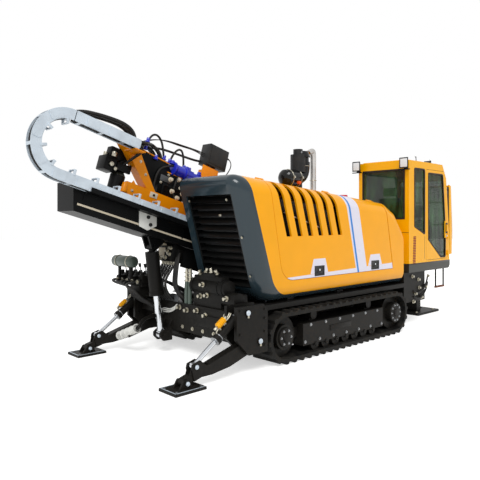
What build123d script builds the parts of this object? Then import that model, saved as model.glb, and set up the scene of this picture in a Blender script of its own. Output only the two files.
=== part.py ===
"""Horizontal directional drill on two tracks, with an enclosed cab.

Lengths are in millimetres and angles in degrees. +X is the drilling direction, +Y the left side and +Z up.
While the pieces are made, x = 0 is the middle of the tracks' ground contact, y = 0 is midway between the
tracks and z = 0 is the ground. At the end every piece is moved so that the origin is under the middle of
the whole machine.
"""
from build123d import *
from math import cos, degrees, hypot, pi, radians, sin, tan
import os

os.makedirs("parts", exist_ok=True)

# Tracks
TRACK_SPREAD = 2200.0        # over the outer sides of both tracks
SHOE_WIDTH = 420.0
WHEEL_BASE = 2460.0          # rear sprocket to front idler
TRACK_HEIGHT = 630.0
GROUSER = 25.0               # height of the bar on each shoe
BELT = 42.0                  # shoe and belt together
SHOE_COUNT = 48
ROLLER_R = 78.0
ROLLER_COUNT = 7
FRAME_INSET = 40.0           # track frame inside the shoes' edges
SEAT_GAP = 0.3               # a curved face next to the one that it bears on

# Chassis
DECK_TOP = 710.0
BEAM_HEIGHT = 60.0           # side beam over each track
FRAME_BOTTOM = 270.0
TRACK_CLEARANCE = 25.0       # behind the tracks' rear ends
WEB_FRONT = -(WHEEL_BASE / 2 + TRACK_HEIGHT / 2 + TRACK_CLEARANCE)   # front face of the webs behind the tracks
CHASSIS_REAR = WEB_FRONT - 30.0   # the face that the rear cross box stands on
CHASSIS_NOSE = 2330.0        # the carrier under the cab ends here
REAR_BOX = 260.0             # length of the cross box
REAR_BOTTOM = 300.0
REAR_TOP = 650.0

# Boom, measured along the beam (s) and square to it (n) from its lower rear corner
BOOM_TILT = 16.2
BOOM_REAR_X = -3270.0
BOOM_REAR_Z = 1800.0
BOOM_RIGHT_Y = 200.0         # the side nearer the hood
BOOM_WIDTH = 400.0
BOOM_HEIGHT = 310.0
BOOM_LENGTH = 6180.0
BOOM_BEVEL = 70.0
PIVOT_S = 5226.0             # where the beam is hinged to the chassis
PIVOT_R = 35.0

# Drill string and its drive
STRING_Y = 460.0
STRING_N = 720.0             # drill axis above the beam's underside
STRING_R = 38.0
SPINDLE_R = 58.0
SPINDLE_END = 2250.0
CARRIAGE_REAR = 450.0
CARRIAGE_FRONT = 2000.0
CARRIAGE_PLATE = 45.0
CARRIAGE_TRAVEL = 3000.0
GEARBOX = (1080.0, 1600.0, 372.0, 600.0, 880.0)   # s from and to, y from and to, top n
RAIL_HEIGHT = 45.0
RAIL_WIDTH = 50.0
RAIL_SPREAD = 210.0          # between the rails' middles
RACK_PITCH = 50.0
RACK_WIDTH = 50.0
VISE_REAR = 5340.0
VISE_SPLIT = 5725.0
VISE_FRONT = 6100.0
VISE_SPIGOT_R = 95.0
RUNNING_GAP = 0.05           # a pin or shaft in its bore

# Drag chain
CHAIN_RIGHT_Y = 61.0         # beside the beam, between it and the hood
CHAIN_WIDTH = 134.0
CHAIN_BAND = 118.0           # height of a link
CHAIN_LOOP_R = 333.0         # to the middle of the links
CHAIN_LOOP_S = -321.0
TRAY_PLATE = 4.0
TRAY_SIDE = 48.0             # height of the wall that hides the chain's lower part
TRAY_LEG = 90.0              # flange on the beam's side, under the tray's floor
TRAY_FLOOR = BOOM_HEIGHT - BOOM_BEVEL
CHAIN_PITCH = 140.0
CHAIN_REACH = 1900.0         # lower run, from the loop to its end
CHAIN_TOP_REACH = 840.0      # upper run, from the loop to the carriage's bracket
CHAIN_JOIN = 10.0            # gap between the two parts of the chain
CHAIN_LIFT = 2.0             # the bend stays this much above the tray
LINK_PLATE = 14.0
LINK_LAP = 5.0               # part of the plate's thickness that laps over the next link
BAR = 8.0                    # thickness of the stays between the side links

# Stabilisers, at both rear corners
STAB_Y = 1000.0
ARM_PIN = (CHASSIS_REAR - 98.0, 351.0)
CYL_PIN = (CHASSIS_REAR - 289.0, 686.0)
ROD_PIN = (CHASSIS_REAR - 962.0, 214.0)
FOOT_PIN = (CHASSIS_REAR - 1094.0, 78.0)
FOOT_LENGTH = 385.0
FOOT_WIDTH = 285.0
FOOT_PLATE = 28.0

# Boom lift
LIFT_TOP = (1220.0, -100.0)  # on the beam (s, n)
LIFT_BASE = (CHASSIS_REAR - 380.0, 240.0)
LIFT_BARREL_R = 88.0
LIFT_ROD_R = 45.0
LIFT_BARREL_LENGTH = 620.0

# Hood
HOOD_RIGHT_Y = -1000.0
HOOD_LEFT_Y = 50.0
HOOD_FRONT_X = 1600.0
HOOD_WALL = 28.0
HOOD_CROWN = 200.0           # round edge between the top and the right side
HOOD_LEAN = 0.2875           # rearward lean for each millimetre of height
DOOR_GAP = 6.0

# Cab
CAB_RIGHT_Y = -1000.0
CAB_WIDTH = 930.0
CAB_REAR_X = 1764.0
CAB_FRONT_X = 3170.0
CAB_FLOOR_Z = 864.0
CAB_SILL_Z = 1006.0
CAB_ROOF_Z = 2650.0
CAB_WALL = 45.0
GLASS = 8.0

# Anchor base in front
ANCHOR_HALF_WIDTH = 994.0
ANCHOR_REAR_X = 2830.0
ANCHOR_FRONT_X = 3600.0
ANCHOR_PLATE = 40.0
ANCHOR_HINGE = (2800.0, 190.0)
AUGER_X = 3430.0
AUGER_SPREAD = 1240.0
AUGER_R = 95.0
AUGER_TURNS = 3
AUGER_STEM_R = 30.0
AUGER_FLIGHT = 10.0           # thickness of the screw's flight
AUGER_BORE_R = 110.0
MAST_TOP = 860.0

WHEEL_Z = TRACK_HEIGHT / 2
TRACK_INNER_Y = TRACK_SPREAD / 2 - SHOE_WIDTH
BELT_OUTER_R = TRACK_HEIGHT / 2 - GROUSER
BELT_INNER_R = BELT_OUTER_R - BELT
BOOM_LEFT_Y = BOOM_RIGHT_Y + BOOM_WIDTH
BOOM_Y = BOOM_RIGHT_Y + BOOM_WIDTH / 2
TILT = radians(BOOM_TILT)
CAB_LEFT_Y = CAB_RIGHT_Y + CAB_WIDTH
RAIL_TOP = BOOM_HEIGHT + RAIL_HEIGHT
CARRIAGE_FLOOR = RAIL_TOP + SEAT_GAP
CARRIAGE_TOP = CARRIAGE_FLOOR + CARRIAGE_PLATE
CHAIN_LOW_N = TRAY_FLOOR + SEAT_GAP + CHAIN_BAND / 2
CHAIN_HIGH_N = CHAIN_LOW_N + 2 * CHAIN_LOOP_R
PIVOT_N = BOOM_HEIGHT / 2


def rig_side(y):
    """Upright plane along the machine: first axis forward, second up, facing right."""
    return Plane(origin=(0, y, 0), x_dir=(1, 0, 0), z_dir=(0, -1, 0))


def boom_side(y):
    """The same plane turned to the beam: first axis along it, second square to it."""
    return Plane(origin=(BOOM_REAR_X, y, BOOM_REAR_Z), x_dir=(cos(TILT), 0, -sin(TILT)), z_dir=(0, -1, 0))


def on_boom(s, y, n):
    """A point given along, across and square to the beam."""
    return Vector(BOOM_REAR_X + s * cos(TILT) + n * sin(TILT), y, BOOM_REAR_Z - s * sin(TILT) + n * cos(TILT))


def boom_cross(s):
    """Plane across the beam: first axis to the left, second square to the beam, facing forward."""
    return Plane(origin=on_boom(s, 0, 0), x_dir=(0, 1, 0), z_dir=(cos(TILT), 0, -sin(TILT)))


def side_plate(points, y0, y1, plane=rig_side, radius=0, mode=Mode.ADD):
    """Plate with a straight-sided outline seen from the side, between two widths."""
    with BuildSketch(plane(y1)) as outline:
        with BuildLine():
            Polyline(*points, close=True)
        make_face()
        if radius:
            fillet(outline.vertices(), radius)
    extrude(outline.sketch, amount=y1 - y0, mode=mode)


def block(x0, x1, y0, y1, z0, z1, plane=rig_side, mode=Mode.ADD):
    """Rectangular block between two corners."""
    side_plate([(x0, z0), (x1, z0), (x1, z1), (x0, z1)], y0, y1, plane, mode=mode)


def cross_bar(centre, radius, y0, y1, plane=rig_side, mode=Mode.ADD):
    """Round bar, or with SUBTRACT a hole, across the machine."""
    with BuildSketch(plane(y1)) as outline:
        with Locations(centre):
            Circle(radius)
    extrude(outline.sketch, amount=y1 - y0, mode=mode)


def round_bar(start, end, radius, mode=Mode.ADD):
    """Round bar from one point to another."""
    run = Vector(*end) - Vector(*start)
    with BuildSketch(Plane(origin=start, z_dir=run)) as outline:
        Circle(radius)
    extrude(outline.sketch, amount=run.length, mode=mode)


def along(start, end, distance, offset=0.0):
    """Point on the line from start towards end, and beside it, to the left of the way."""
    length = hypot(end[0] - start[0], end[1] - start[1])
    ux = (end[0] - start[0]) / length
    uz = (end[1] - start[1]) / length
    return start[0] + ux * distance - uz * offset, start[1] + uz * distance + ux * offset


def strip(start, end, width, y0, y1, from_start=0.0, to_end=0.0, plane=rig_side, mode=Mode.ADD):
    """Flat bar of one width along the line between two points."""
    length = hypot(end[0] - start[0], end[1] - start[1])
    corners = [(from_start, -width / 2), (length + to_end, -width / 2),
               (length + to_end, width / 2), (from_start, width / 2)]
    side_plate([along(start, end, d, o) for d, o in corners], y0, y1, plane, mode=mode)


finished = {}


def keep(builder, name):
    """Remembers a finished piece by its node name."""
    finished[name] = builder


# Tracks and their frames
def track_stations(count):
    """Evenly spaced places on the belt's outer face: x, z and the way along it in degrees."""
    arc = pi * BELT_OUTER_R
    loop = 2 * (WHEEL_BASE + arc)
    stations = []
    for index in range(count):
        run = loop * (index + 0.5) / count
        if run < WHEEL_BASE:
            stations.append((WHEEL_BASE / 2 - run, WHEEL_Z - BELT_OUTER_R, 180.0))
        elif run < WHEEL_BASE + arc:
            turn = (run - WHEEL_BASE) / BELT_OUTER_R
            stations.append((-WHEEL_BASE / 2 - BELT_OUTER_R * sin(turn),
                             WHEEL_Z - BELT_OUTER_R * cos(turn), 180.0 - degrees(turn)))
        elif run < 2 * WHEEL_BASE + arc:
            stations.append((run - WHEEL_BASE - arc - WHEEL_BASE / 2, WHEEL_Z + BELT_OUTER_R, 0.0))
        else:
            turn = (run - 2 * WHEEL_BASE - arc) / BELT_OUTER_R
            stations.append((WHEEL_BASE / 2 + BELT_OUTER_R * sin(turn),
                             WHEEL_Z + BELT_OUTER_R * cos(turn), -degrees(turn)))
    return stations


def make_track(y0):
    shoe_pitch = 2 * (WHEEL_BASE + pi * BELT_OUTER_R) / SHOE_COUNT
    with BuildPart() as track:
        with BuildSketch(rig_side(y0 + SHOE_WIDTH)) as loop:
            with Locations((0, WHEEL_Z)):
                SlotCenterToCenter(WHEEL_BASE, 2 * BELT_OUTER_R)
            with Locations(*[Location((x, z, 0), (0, 0, way)) for x, z, way in track_stations(SHOE_COUNT)]):
                Polygon((-0.30 * shoe_pitch, -BELT / 3), (0.30 * shoe_pitch, -BELT / 3),
                        (0.12 * shoe_pitch, GROUSER), (-0.12 * shoe_pitch, GROUSER), align=None)
            with Locations((0, WHEEL_Z)):
                SlotCenterToCenter(WHEEL_BASE, 2 * BELT_INNER_R, mode=Mode.SUBTRACT)
        extrude(amount=SHOE_WIDTH)
    return track


def make_track_frame(y0):
    """Beam, sprocket, idler and rollers inside one track."""
    centre = y0 + SHOE_WIDTH / 2
    half = SHOE_WIDTH / 2 - FRAME_INSET
    roller_z = WHEEL_Z - BELT_INNER_R + SEAT_GAP + ROLLER_R
    rolling = 2 * ROLLER_R + 60
    with BuildPart() as frame:
        block(-WHEEL_BASE / 2 + 330, WHEEL_BASE / 2 - 330, centre - half, centre + half,
              roller_z + 12, WHEEL_Z + 110)
        side_plate([(-WHEEL_BASE / 2, WHEEL_Z - 60), (WHEEL_BASE / 2, WHEEL_Z - 60),
                    (WHEEL_BASE / 2, WHEEL_Z + 60), (-WHEEL_BASE / 2, WHEEL_Z + 60)],
                   centre - 70, centre + 70)
        for x in (-WHEEL_BASE / 2, WHEEL_BASE / 2):
            cross_bar((x, WHEEL_Z), BELT_INNER_R - SEAT_GAP, centre - 95, centre + 95)
            cross_bar((x, WHEEL_Z), 150, centre - half, centre + half)
        for index in range(ROLLER_COUNT):
            x = (index - (ROLLER_COUNT - 1) / 2) * rolling
            cross_bar((x, roller_z), ROLLER_R, centre - half + 20, centre + half - 20)
        for x in (-620, 620):
            cross_bar((x, WHEEL_Z + BELT_INNER_R - SEAT_GAP - 60), 60, centre - half + 60, centre + half - 60)
            block(x - 40, x + 40, centre - half + 100, centre + half - 100, WHEEL_Z + 100,
                  WHEEL_Z + BELT_INNER_R - 90)
    return frame


for side, right_edge in (("right", -TRACK_SPREAD / 2), ("left", TRACK_INNER_Y)):
    keep(make_track(right_edge), f"track_{side}")
    keep(make_track_frame(right_edge), f"track_frame_{side}")

# Chassis: spine and deck right of the boom, cross members under it, pivot ears and lift base
FRAME_LEFT_Y = BOOM_RIGHT_Y - 85
EAR = 28.0
EAR_GAP = 4.0
CROSS_TOP = 470.0
CROSS_LENGTH = 220.0
CROSS_HALF = TRACK_INNER_Y + FRAME_INSET
with BuildPart() as chassis_frame:
    block(CHASSIS_REAR, CHASSIS_NOSE - 200, -TRACK_INNER_Y + 25, FRAME_LEFT_Y, FRAME_BOTTOM, DECK_TOP - BEAM_HEIGHT)
    block(CHASSIS_REAR, HOOD_FRONT_X + 60, -TRACK_INNER_Y, FRAME_LEFT_Y, DECK_TOP - BEAM_HEIGHT, DECK_TOP)
    block(WEB_FRONT + SEAT_GAP, HOOD_FRONT_X + 60, HOOD_RIGHT_Y + 8, -TRACK_INNER_Y, DECK_TOP - BEAM_HEIGHT, DECK_TOP)
    block(HOOD_FRONT_X + 60, CHASSIS_NOSE, CAB_RIGHT_Y + 30, FRAME_LEFT_Y, FRAME_BOTTOM + 120, CAB_FLOOR_Z)
    for x in (-1010.0, 560.0):
        block(x - CROSS_LENGTH / 2, x + CROSS_LENGTH / 2, -CROSS_HALF, CROSS_HALF, FRAME_BOTTOM - 10, CROSS_TOP)
    block(1585.0, 1790.0, -TRACK_INNER_Y + 60, BOOM_LEFT_Y + EAR_GAP + EAR, 150.0, 285.0)
    for y0 in (BOOM_RIGHT_Y - EAR_GAP - EAR, BOOM_LEFT_Y + EAR_GAP):
        side_plate([(1585, 150), (1790, 150), (1850, 420), (1820, 600), (1690, 600), (1610, 480)], y0, y0 + EAR)
        cross_bar((PIVOT_S, PIVOT_N), PIVOT_R + RUNNING_GAP, y0, y0 + EAR, boom_side, mode=Mode.SUBTRACT)
keep(chassis_frame, "chassis_frame")

# Rear cross box with the stabilisers' side plates and the lift cylinder's ears
STAB_HALF = 100.0            # from a stabiliser's middle to its side plates' outer faces
STAB_PLATE = 40.0
LIFT_EYE_HALF = 50.0
STAB_PIN_R = 24.0
LIFT_PIN_R = 30.0
BRACKET_BOTTOM = 215.0
BRACKET_TOP = 760.0
BRACKET = [(CHASSIS_REAR - 450, BRACKET_TOP), (CHASSIS_REAR - 450, 400), (CHASSIS_REAR - REAR_BOX, BRACKET_BOTTOM),
           (WEB_FRONT, BRACKET_BOTTOM), (WEB_FRONT, 690), (WEB_FRONT - 70, BRACKET_TOP)]
LIFT_EAR = [(-10, -80), (-65, -25), (-65, 25), (-20, 60), (55, 60)]   # round the rod's eye, from its pin
with BuildPart() as chassis_rear:
    block(CHASSIS_REAR - REAR_BOX, CHASSIS_REAR, -STAB_Y + STAB_HALF, STAB_Y - STAB_HALF, REAR_BOTTOM, REAR_TOP)
    for middle in (-STAB_Y, STAB_Y):
        for edge in (middle - STAB_HALF, middle + STAB_HALF - STAB_PLATE):
            side_plate(BRACKET, edge, edge + STAB_PLATE)
        block(WEB_FRONT - 28, WEB_FRONT, middle - STAB_HALF, middle + STAB_HALF, BRACKET_BOTTOM, 640)
        for pin in (ARM_PIN, CYL_PIN):
            cross_bar(pin, STAB_PIN_R, middle - STAB_HALF, middle + STAB_HALF)
            cross_bar(pin, STAB_PIN_R + 10, middle - STAB_HALF - 12, middle - STAB_HALF)
            cross_bar(pin, STAB_PIN_R + 10, middle + STAB_HALF, middle + STAB_HALF + 12)
    ear_x, ear_z = LIFT_BASE
    box_x = CHASSIS_REAR - REAR_BOX
    ear = [(box_x, ear_z - 80), *[(ear_x + dx, ear_z + dz) for dx, dz in LIFT_EAR], (box_x, REAR_BOTTOM + 120)]
    for y0 in (BOOM_Y - LIFT_EYE_HALF - EAR_GAP - EAR, BOOM_Y + LIFT_EYE_HALF + EAR_GAP):
        side_plate(ear, y0, y0 + EAR)
    for y0 in (BOOM_Y - LIFT_EYE_HALF - EAR_GAP - EAR - 14, BOOM_Y + LIFT_EYE_HALF + EAR_GAP + EAR):
        cross_bar(LIFT_BASE, LIFT_PIN_R, y0, y0 + 14)
keep(chassis_rear, "chassis_rear")

# Stabilisers
ARM_LENGTH = hypot(FOOT_PIN[0] - ARM_PIN[0], FOOT_PIN[1] - ARM_PIN[1])
ARM_HALF = 52.0
TIP_HALF = 38.0
ROD_EYE_HALF = 26.0
STAB_BARREL_R = 50.0
STAB_ROD_R = 25.0
STAB_BARREL_LENGTH = 465.0
FOOT_PIN_R = 18.0
EYE_WALL = 16.0
ARM_OUTLINE = [(-62, -58), (740, -46), (800, -136), (905, -136), (960, -44), (ARM_LENGTH, -44),
               (ARM_LENGTH, 34), (830, 34), (700, 70), (450, 104), (180, 96), (-62, 58)]
FOOT_EAR = 20.0


def make_arm(middle):
    with BuildPart() as arm:
        outline = [along(ARM_PIN, FOOT_PIN, d, o) for d, o in ARM_OUTLINE]
        side_plate(outline, middle - ARM_HALF, middle + ARM_HALF)
        cross_bar(ARM_PIN, STAB_PIN_R + 3 * EYE_WALL, middle - ARM_HALF, middle + ARM_HALF)
        for y0, y1 in ((middle - ARM_HALF, middle - TIP_HALF), (middle + TIP_HALF, middle + ARM_HALF)):
            strip(ARM_PIN, FOOT_PIN, 200, y0, y1, from_start=930, to_end=60, mode=Mode.SUBTRACT)
        cross_bar(FOOT_PIN, FOOT_PIN_R + EYE_WALL + 6, middle - TIP_HALF, middle + TIP_HALF)
        slot_y = ROD_EYE_HALF + EAR_GAP
        slot = [along(ARM_PIN, FOOT_PIN, d, o) for d, o in ((700, -34), (960, -34), (960, -160), (700, -160))]
        side_plate(slot, middle - slot_y, middle + slot_y, mode=Mode.SUBTRACT)
        cross_bar(ARM_PIN, STAB_PIN_R + RUNNING_GAP, middle - ARM_HALF, middle + ARM_HALF, mode=Mode.SUBTRACT)
        cross_bar(FOOT_PIN, FOOT_PIN_R + RUNNING_GAP, middle - TIP_HALF, middle + TIP_HALF, mode=Mode.SUBTRACT)
        for y0 in (middle - ARM_HALF - 10, middle + ARM_HALF):
            cross_bar(ROD_PIN, STAB_PIN_R, y0, y0 + 10)
    return arm


def make_foot(middle):
    with BuildPart() as foot:
        block(FOOT_PIN[0] - FOOT_LENGTH / 2, FOOT_PIN[0] + FOOT_LENGTH / 2,
              middle - FOOT_WIDTH / 2, middle + FOOT_WIDTH / 2, 0, FOOT_PLATE)
        for y0 in (middle - TIP_HALF - EAR_GAP - FOOT_EAR, middle + TIP_HALF + EAR_GAP):
            x, z = FOOT_PIN
            side_plate([(x - 85, FOOT_PLATE), (x + 85, FOOT_PLATE), (x + 32, z + 30), (x - 32, z + 30)],
                       y0, y0 + FOOT_EAR)
        cross_bar(FOOT_PIN, FOOT_PIN_R, middle - TIP_HALF - EAR_GAP - FOOT_EAR - 8,
                  middle + TIP_HALF + EAR_GAP + FOOT_EAR + 8)
    return foot


def make_barrel(start, end, middle, length, radius, bore, pin_r, eye_half):
    """Cylinder barrel with an eye at its start and a bore for its rod."""
    start3 = (start[0], middle, start[1])
    tail = along(start, end, pin_r + EYE_WALL + 18)
    nose = along(start, end, length)
    gland = along(start, end, length - 45)
    bottom = along(start, end, pin_r + EYE_WALL + 44)
    with BuildPart() as barrel:
        round_bar((tail[0], middle, tail[1]), (nose[0], middle, nose[1]), radius)
        round_bar((gland[0], middle, gland[1]), (nose[0], middle, nose[1]), radius + 7)
        cross_bar(start, pin_r + EYE_WALL, middle - eye_half, middle + eye_half)
        round_bar((start[0], middle, start[1]), (tail[0], middle, tail[1]), pin_r + 10)
        round_bar((bottom[0], middle, bottom[1]), (nose[0], middle, nose[1]), bore, mode=Mode.SUBTRACT)
        cross_bar(start, pin_r + RUNNING_GAP, middle - eye_half, middle + eye_half, mode=Mode.SUBTRACT)
    return barrel


def make_rod(start, end, middle, inside, radius, eye_r, eye_half):
    """Cylinder rod from a point inside the barrel to an eye at the line's end."""
    piston = along(start, end, inside)
    neck = along(end, start, eye_r - 6)
    with BuildPart() as rod:
        round_bar((piston[0], middle, piston[1]), (neck[0], middle, neck[1]), radius)
        cross_bar(end, eye_r, middle - eye_half, middle + eye_half)
    return rod


for side, middle in (("right", -STAB_Y), ("left", STAB_Y)):
    keep(make_arm(middle), f"stabiliser_arm_{side}")
    keep(make_foot(middle), f"stabiliser_foot_{side}")
    keep(make_barrel(CYL_PIN, ROD_PIN, middle, STAB_BARREL_LENGTH, STAB_BARREL_R, STAB_ROD_R + RUNNING_GAP,
                     STAB_PIN_R, ARM_HALF), f"stabiliser_barrel_{side}")
    keep(make_rod(CYL_PIN, ROD_PIN, middle, STAB_BARREL_LENGTH - 110, STAB_ROD_R, 38, ROD_EYE_HALF),
         f"stabiliser_rod_{side}")

# Boom beam: box section with a bevelled upper right edge, lift ears and a tongue for the anchor base
LIFT_EAR_HALF = 50.0
TONGUE_HALF = 57.0
HINGE_R = 25.0
ANCHOR_SN = ((ANCHOR_HINGE[0] - BOOM_REAR_X) * cos(TILT) - (ANCHOR_HINGE[1] - BOOM_REAR_Z) * sin(TILT),
             (ANCHOR_HINGE[0] - BOOM_REAR_X) * sin(TILT) + (ANCHOR_HINGE[1] - BOOM_REAR_Z) * cos(TILT))
with BuildPart() as boom_beam:
    with BuildSketch(boom_cross(-BOOM_HEIGHT * tan(TILT))) as section:
        with BuildLine():
            Polyline((BOOM_RIGHT_Y, 0), (BOOM_LEFT_Y, 0), (BOOM_LEFT_Y, BOOM_HEIGHT),
                     (BOOM_RIGHT_Y + BOOM_BEVEL, BOOM_HEIGHT), (BOOM_RIGHT_Y, BOOM_HEIGHT - BOOM_BEVEL), close=True)
        make_face()
    extrude(amount=BOOM_LENGTH + BOOM_HEIGHT * tan(TILT))
    side_plate([(0, 0), (-BOOM_HEIGHT * tan(TILT), BOOM_HEIGHT), (-400, BOOM_HEIGHT), (-400, -10), (0, -10)],
               BOOM_RIGHT_Y - 10, BOOM_LEFT_Y + 10, boom_side, mode=Mode.SUBTRACT)
    for y0 in (BOOM_Y - LIFT_EAR_HALF - EAR_GAP - EAR, BOOM_Y + LIFT_EAR_HALF + EAR_GAP):
        s, n = LIFT_TOP
        side_plate([(s - 130, 0), (s - 34, n - 40), (s + 34, n - 40), (s + 130, 0)], y0, y0 + EAR, boom_side)
    cross_bar(LIFT_TOP, LIFT_PIN_R, BOOM_Y - LIFT_EAR_HALF - EAR_GAP - EAR - 12,
              BOOM_Y + LIFT_EAR_HALF + EAR_GAP + EAR + 12, boom_side)
    s, n = ANCHOR_SN
    side_plate([(BOOM_LENGTH, n - 95), (s, n - HINGE_R - 20), (s + HINGE_R + 20, n), (s, n + HINGE_R + 20),
                (BOOM_LENGTH, n + 95)], BOOM_Y - TONGUE_HALF, BOOM_Y + TONGUE_HALF, boom_side)
    cross_bar(ANCHOR_SN, HINGE_R + RUNNING_GAP, BOOM_Y - TONGUE_HALF, BOOM_Y + TONGUE_HALF, boom_side,
              mode=Mode.SUBTRACT)
    for y0 in (BOOM_RIGHT_Y - EAR_GAP - EAR, BOOM_LEFT_Y):
        cross_bar((PIVOT_S, PIVOT_N), PIVOT_R, y0, y0 + EAR + EAR_GAP, boom_side)
keep(boom_beam, "boom_beam")

# Rails and the rack between them
with BuildPart() as boom_rails:
    for y in (STRING_Y - RAIL_SPREAD / 2, STRING_Y + RAIL_SPREAD / 2):
        block(60, VISE_SPLIT - 20, y - RAIL_WIDTH / 2, y + RAIL_WIDTH / 2, BOOM_HEIGHT, RAIL_TOP, boom_side)

RACK_START = 200.0
RACK_END = CARRIAGE_FRONT + CARRIAGE_TRAVEL + 150
RACK_ROOT = 16.0
RACK_TIP = 34.0
RACK_TOOTH = [(0.10, RACK_ROOT), (0.35, RACK_TIP), (0.65, RACK_TIP), (0.90, RACK_ROOT)]   # share of the pitch, height
rack_outline = [(RACK_START, BOOM_HEIGHT)]
for tooth in range(int((RACK_END - RACK_START) / RACK_PITCH)):
    at = RACK_START + tooth * RACK_PITCH
    rack_outline += [(at + part * RACK_PITCH, BOOM_HEIGHT + height) for part, height in RACK_TOOTH]
rack_outline += [(RACK_END, BOOM_HEIGHT)]
with boom_rails:
    side_plate(rack_outline, STRING_Y - RACK_WIDTH / 2, STRING_Y + RACK_WIDTH / 2, boom_side)
keep(boom_rails, "boom_rails")

# Tray for the chain's lower run
TRAY_START = 70.0
TRAY_END = 3560.0
with BuildPart() as chain_tray:
    wall_y = CHAIN_RIGHT_Y - TRAY_PLATE - 1
    bottom = TRAY_FLOOR - TRAY_PLATE
    block(TRAY_START, TRAY_END, wall_y, BOOM_RIGHT_Y, bottom, TRAY_FLOOR, boom_side)
    block(TRAY_START, TRAY_END, wall_y, wall_y + TRAY_PLATE, bottom, TRAY_FLOOR + TRAY_SIDE, boom_side)
    block(TRAY_START, TRAY_END, BOOM_RIGHT_Y - TRAY_PLATE, BOOM_RIGHT_Y, bottom - TRAY_LEG, bottom, boom_side)
keep(chain_tray, "chain_tray")


# Drag chain: two smooth side bands with a lap plate on every second link, and stays between the bands
def link_station(run):
    """Place on the chain's middle line: s, n and the way in degrees. Runs from the lower end round the loop."""
    arc = pi * CHAIN_LOOP_R
    if run < CHAIN_REACH:
        return CHAIN_LOOP_S + CHAIN_REACH - run, CHAIN_LOW_N, 180.0
    if run < CHAIN_REACH + arc:
        turn = (run - CHAIN_REACH) / CHAIN_LOOP_R
        return (CHAIN_LOOP_S - CHAIN_LOOP_R * sin(turn),
                CHAIN_LOW_N + CHAIN_LOOP_R - CHAIN_LOOP_R * cos(turn), 180.0 - degrees(turn))
    return CHAIN_LOOP_S + run - CHAIN_REACH - arc, CHAIN_HIGH_N, 0.0


def straight_band(s0, s1, n):
    """Side view of a straight length of the band, in the open sketch."""
    with Locations(((s0 + s1) / 2, n)):
        Rectangle(s1 - s0, CHAIN_BAND)


def bent_band():
    """Side view of the band's half circle, in the open sketch."""
    with Locations((CHAIN_LOOP_S, CHAIN_LOW_N + CHAIN_LOOP_R)):
        Circle(CHAIN_LOOP_R + CHAIN_BAND / 2 - CHAIN_LIFT)
        Circle(CHAIN_LOOP_R - CHAIN_BAND / 2, mode=Mode.SUBTRACT)
    with Locations((CHAIN_LOOP_S + CHAIN_LOOP_R, CHAIN_LOW_N + CHAIN_LOOP_R)):
        Rectangle(2 * CHAIN_LOOP_R, 3 * CHAIN_LOOP_R, mode=Mode.SUBTRACT)


CHAIN_SPLIT = CHAIN_REACH + pi * CHAIN_LOOP_R
CHAIN_END = CHAIN_LOOP_S + CHAIN_TOP_REACH


def make_chain(first_run, last_run):
    count = round((last_run - first_run) / CHAIN_PITCH)
    pitch = (last_run - first_run) / count
    stations = [link_station(first_run + (index + 0.5) * pitch) for index in range(count)]
    places = [Location((s, n, 0), (0, 0, way)) for s, n, way in stations]
    stays = [place * Location((0, side * (CHAIN_BAND - BAR) / 2 - side * CHAIN_LIFT, 0))
             for place in places[::2] for side in (1, -1)]
    left_y = CHAIN_RIGHT_Y + CHAIN_WIDTH
    with BuildPart() as chain:
        for y in (CHAIN_RIGHT_Y + LINK_PLATE, left_y - LINK_LAP):
            with BuildSketch(boom_side(y)):
                if first_run < CHAIN_SPLIT:
                    bent_band()
                    straight_band(CHAIN_LOOP_S, CHAIN_LOOP_S + CHAIN_REACH, CHAIN_LOW_N)
                else:
                    straight_band(CHAIN_LOOP_S + CHAIN_JOIN, CHAIN_END, CHAIN_HIGH_N)
            extrude(amount=LINK_PLATE - LINK_LAP)
        for y in (CHAIN_RIGHT_Y + LINK_LAP, left_y):
            with BuildSketch(boom_side(y)):
                with Locations(*places[1::2]):
                    Polygon((-0.54 * pitch, -0.30 * CHAIN_BAND), (-0.40 * pitch, -0.44 * CHAIN_BAND),
                            (0.40 * pitch, -0.44 * CHAIN_BAND), (0.54 * pitch, -0.30 * CHAIN_BAND),
                            (0.54 * pitch, 0.30 * CHAIN_BAND), (0.40 * pitch, 0.44 * CHAIN_BAND),
                            (-0.40 * pitch, 0.44 * CHAIN_BAND), (-0.54 * pitch, 0.30 * CHAIN_BAND), align=None)
            extrude(amount=LINK_LAP)
        with BuildSketch(boom_side(left_y - LINK_PLATE / 2)):
            with Locations(*stays):
                Rectangle(0.25 * pitch, BAR)
        extrude(amount=CHAIN_WIDTH - LINK_PLATE)
    return chain


keep(make_chain(0, CHAIN_SPLIT), "drag_chain_loop")
keep(make_chain(CHAIN_SPLIT + CHAIN_JOIN, CHAIN_SPLIT + CHAIN_TOP_REACH), "drag_chain_top")

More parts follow.
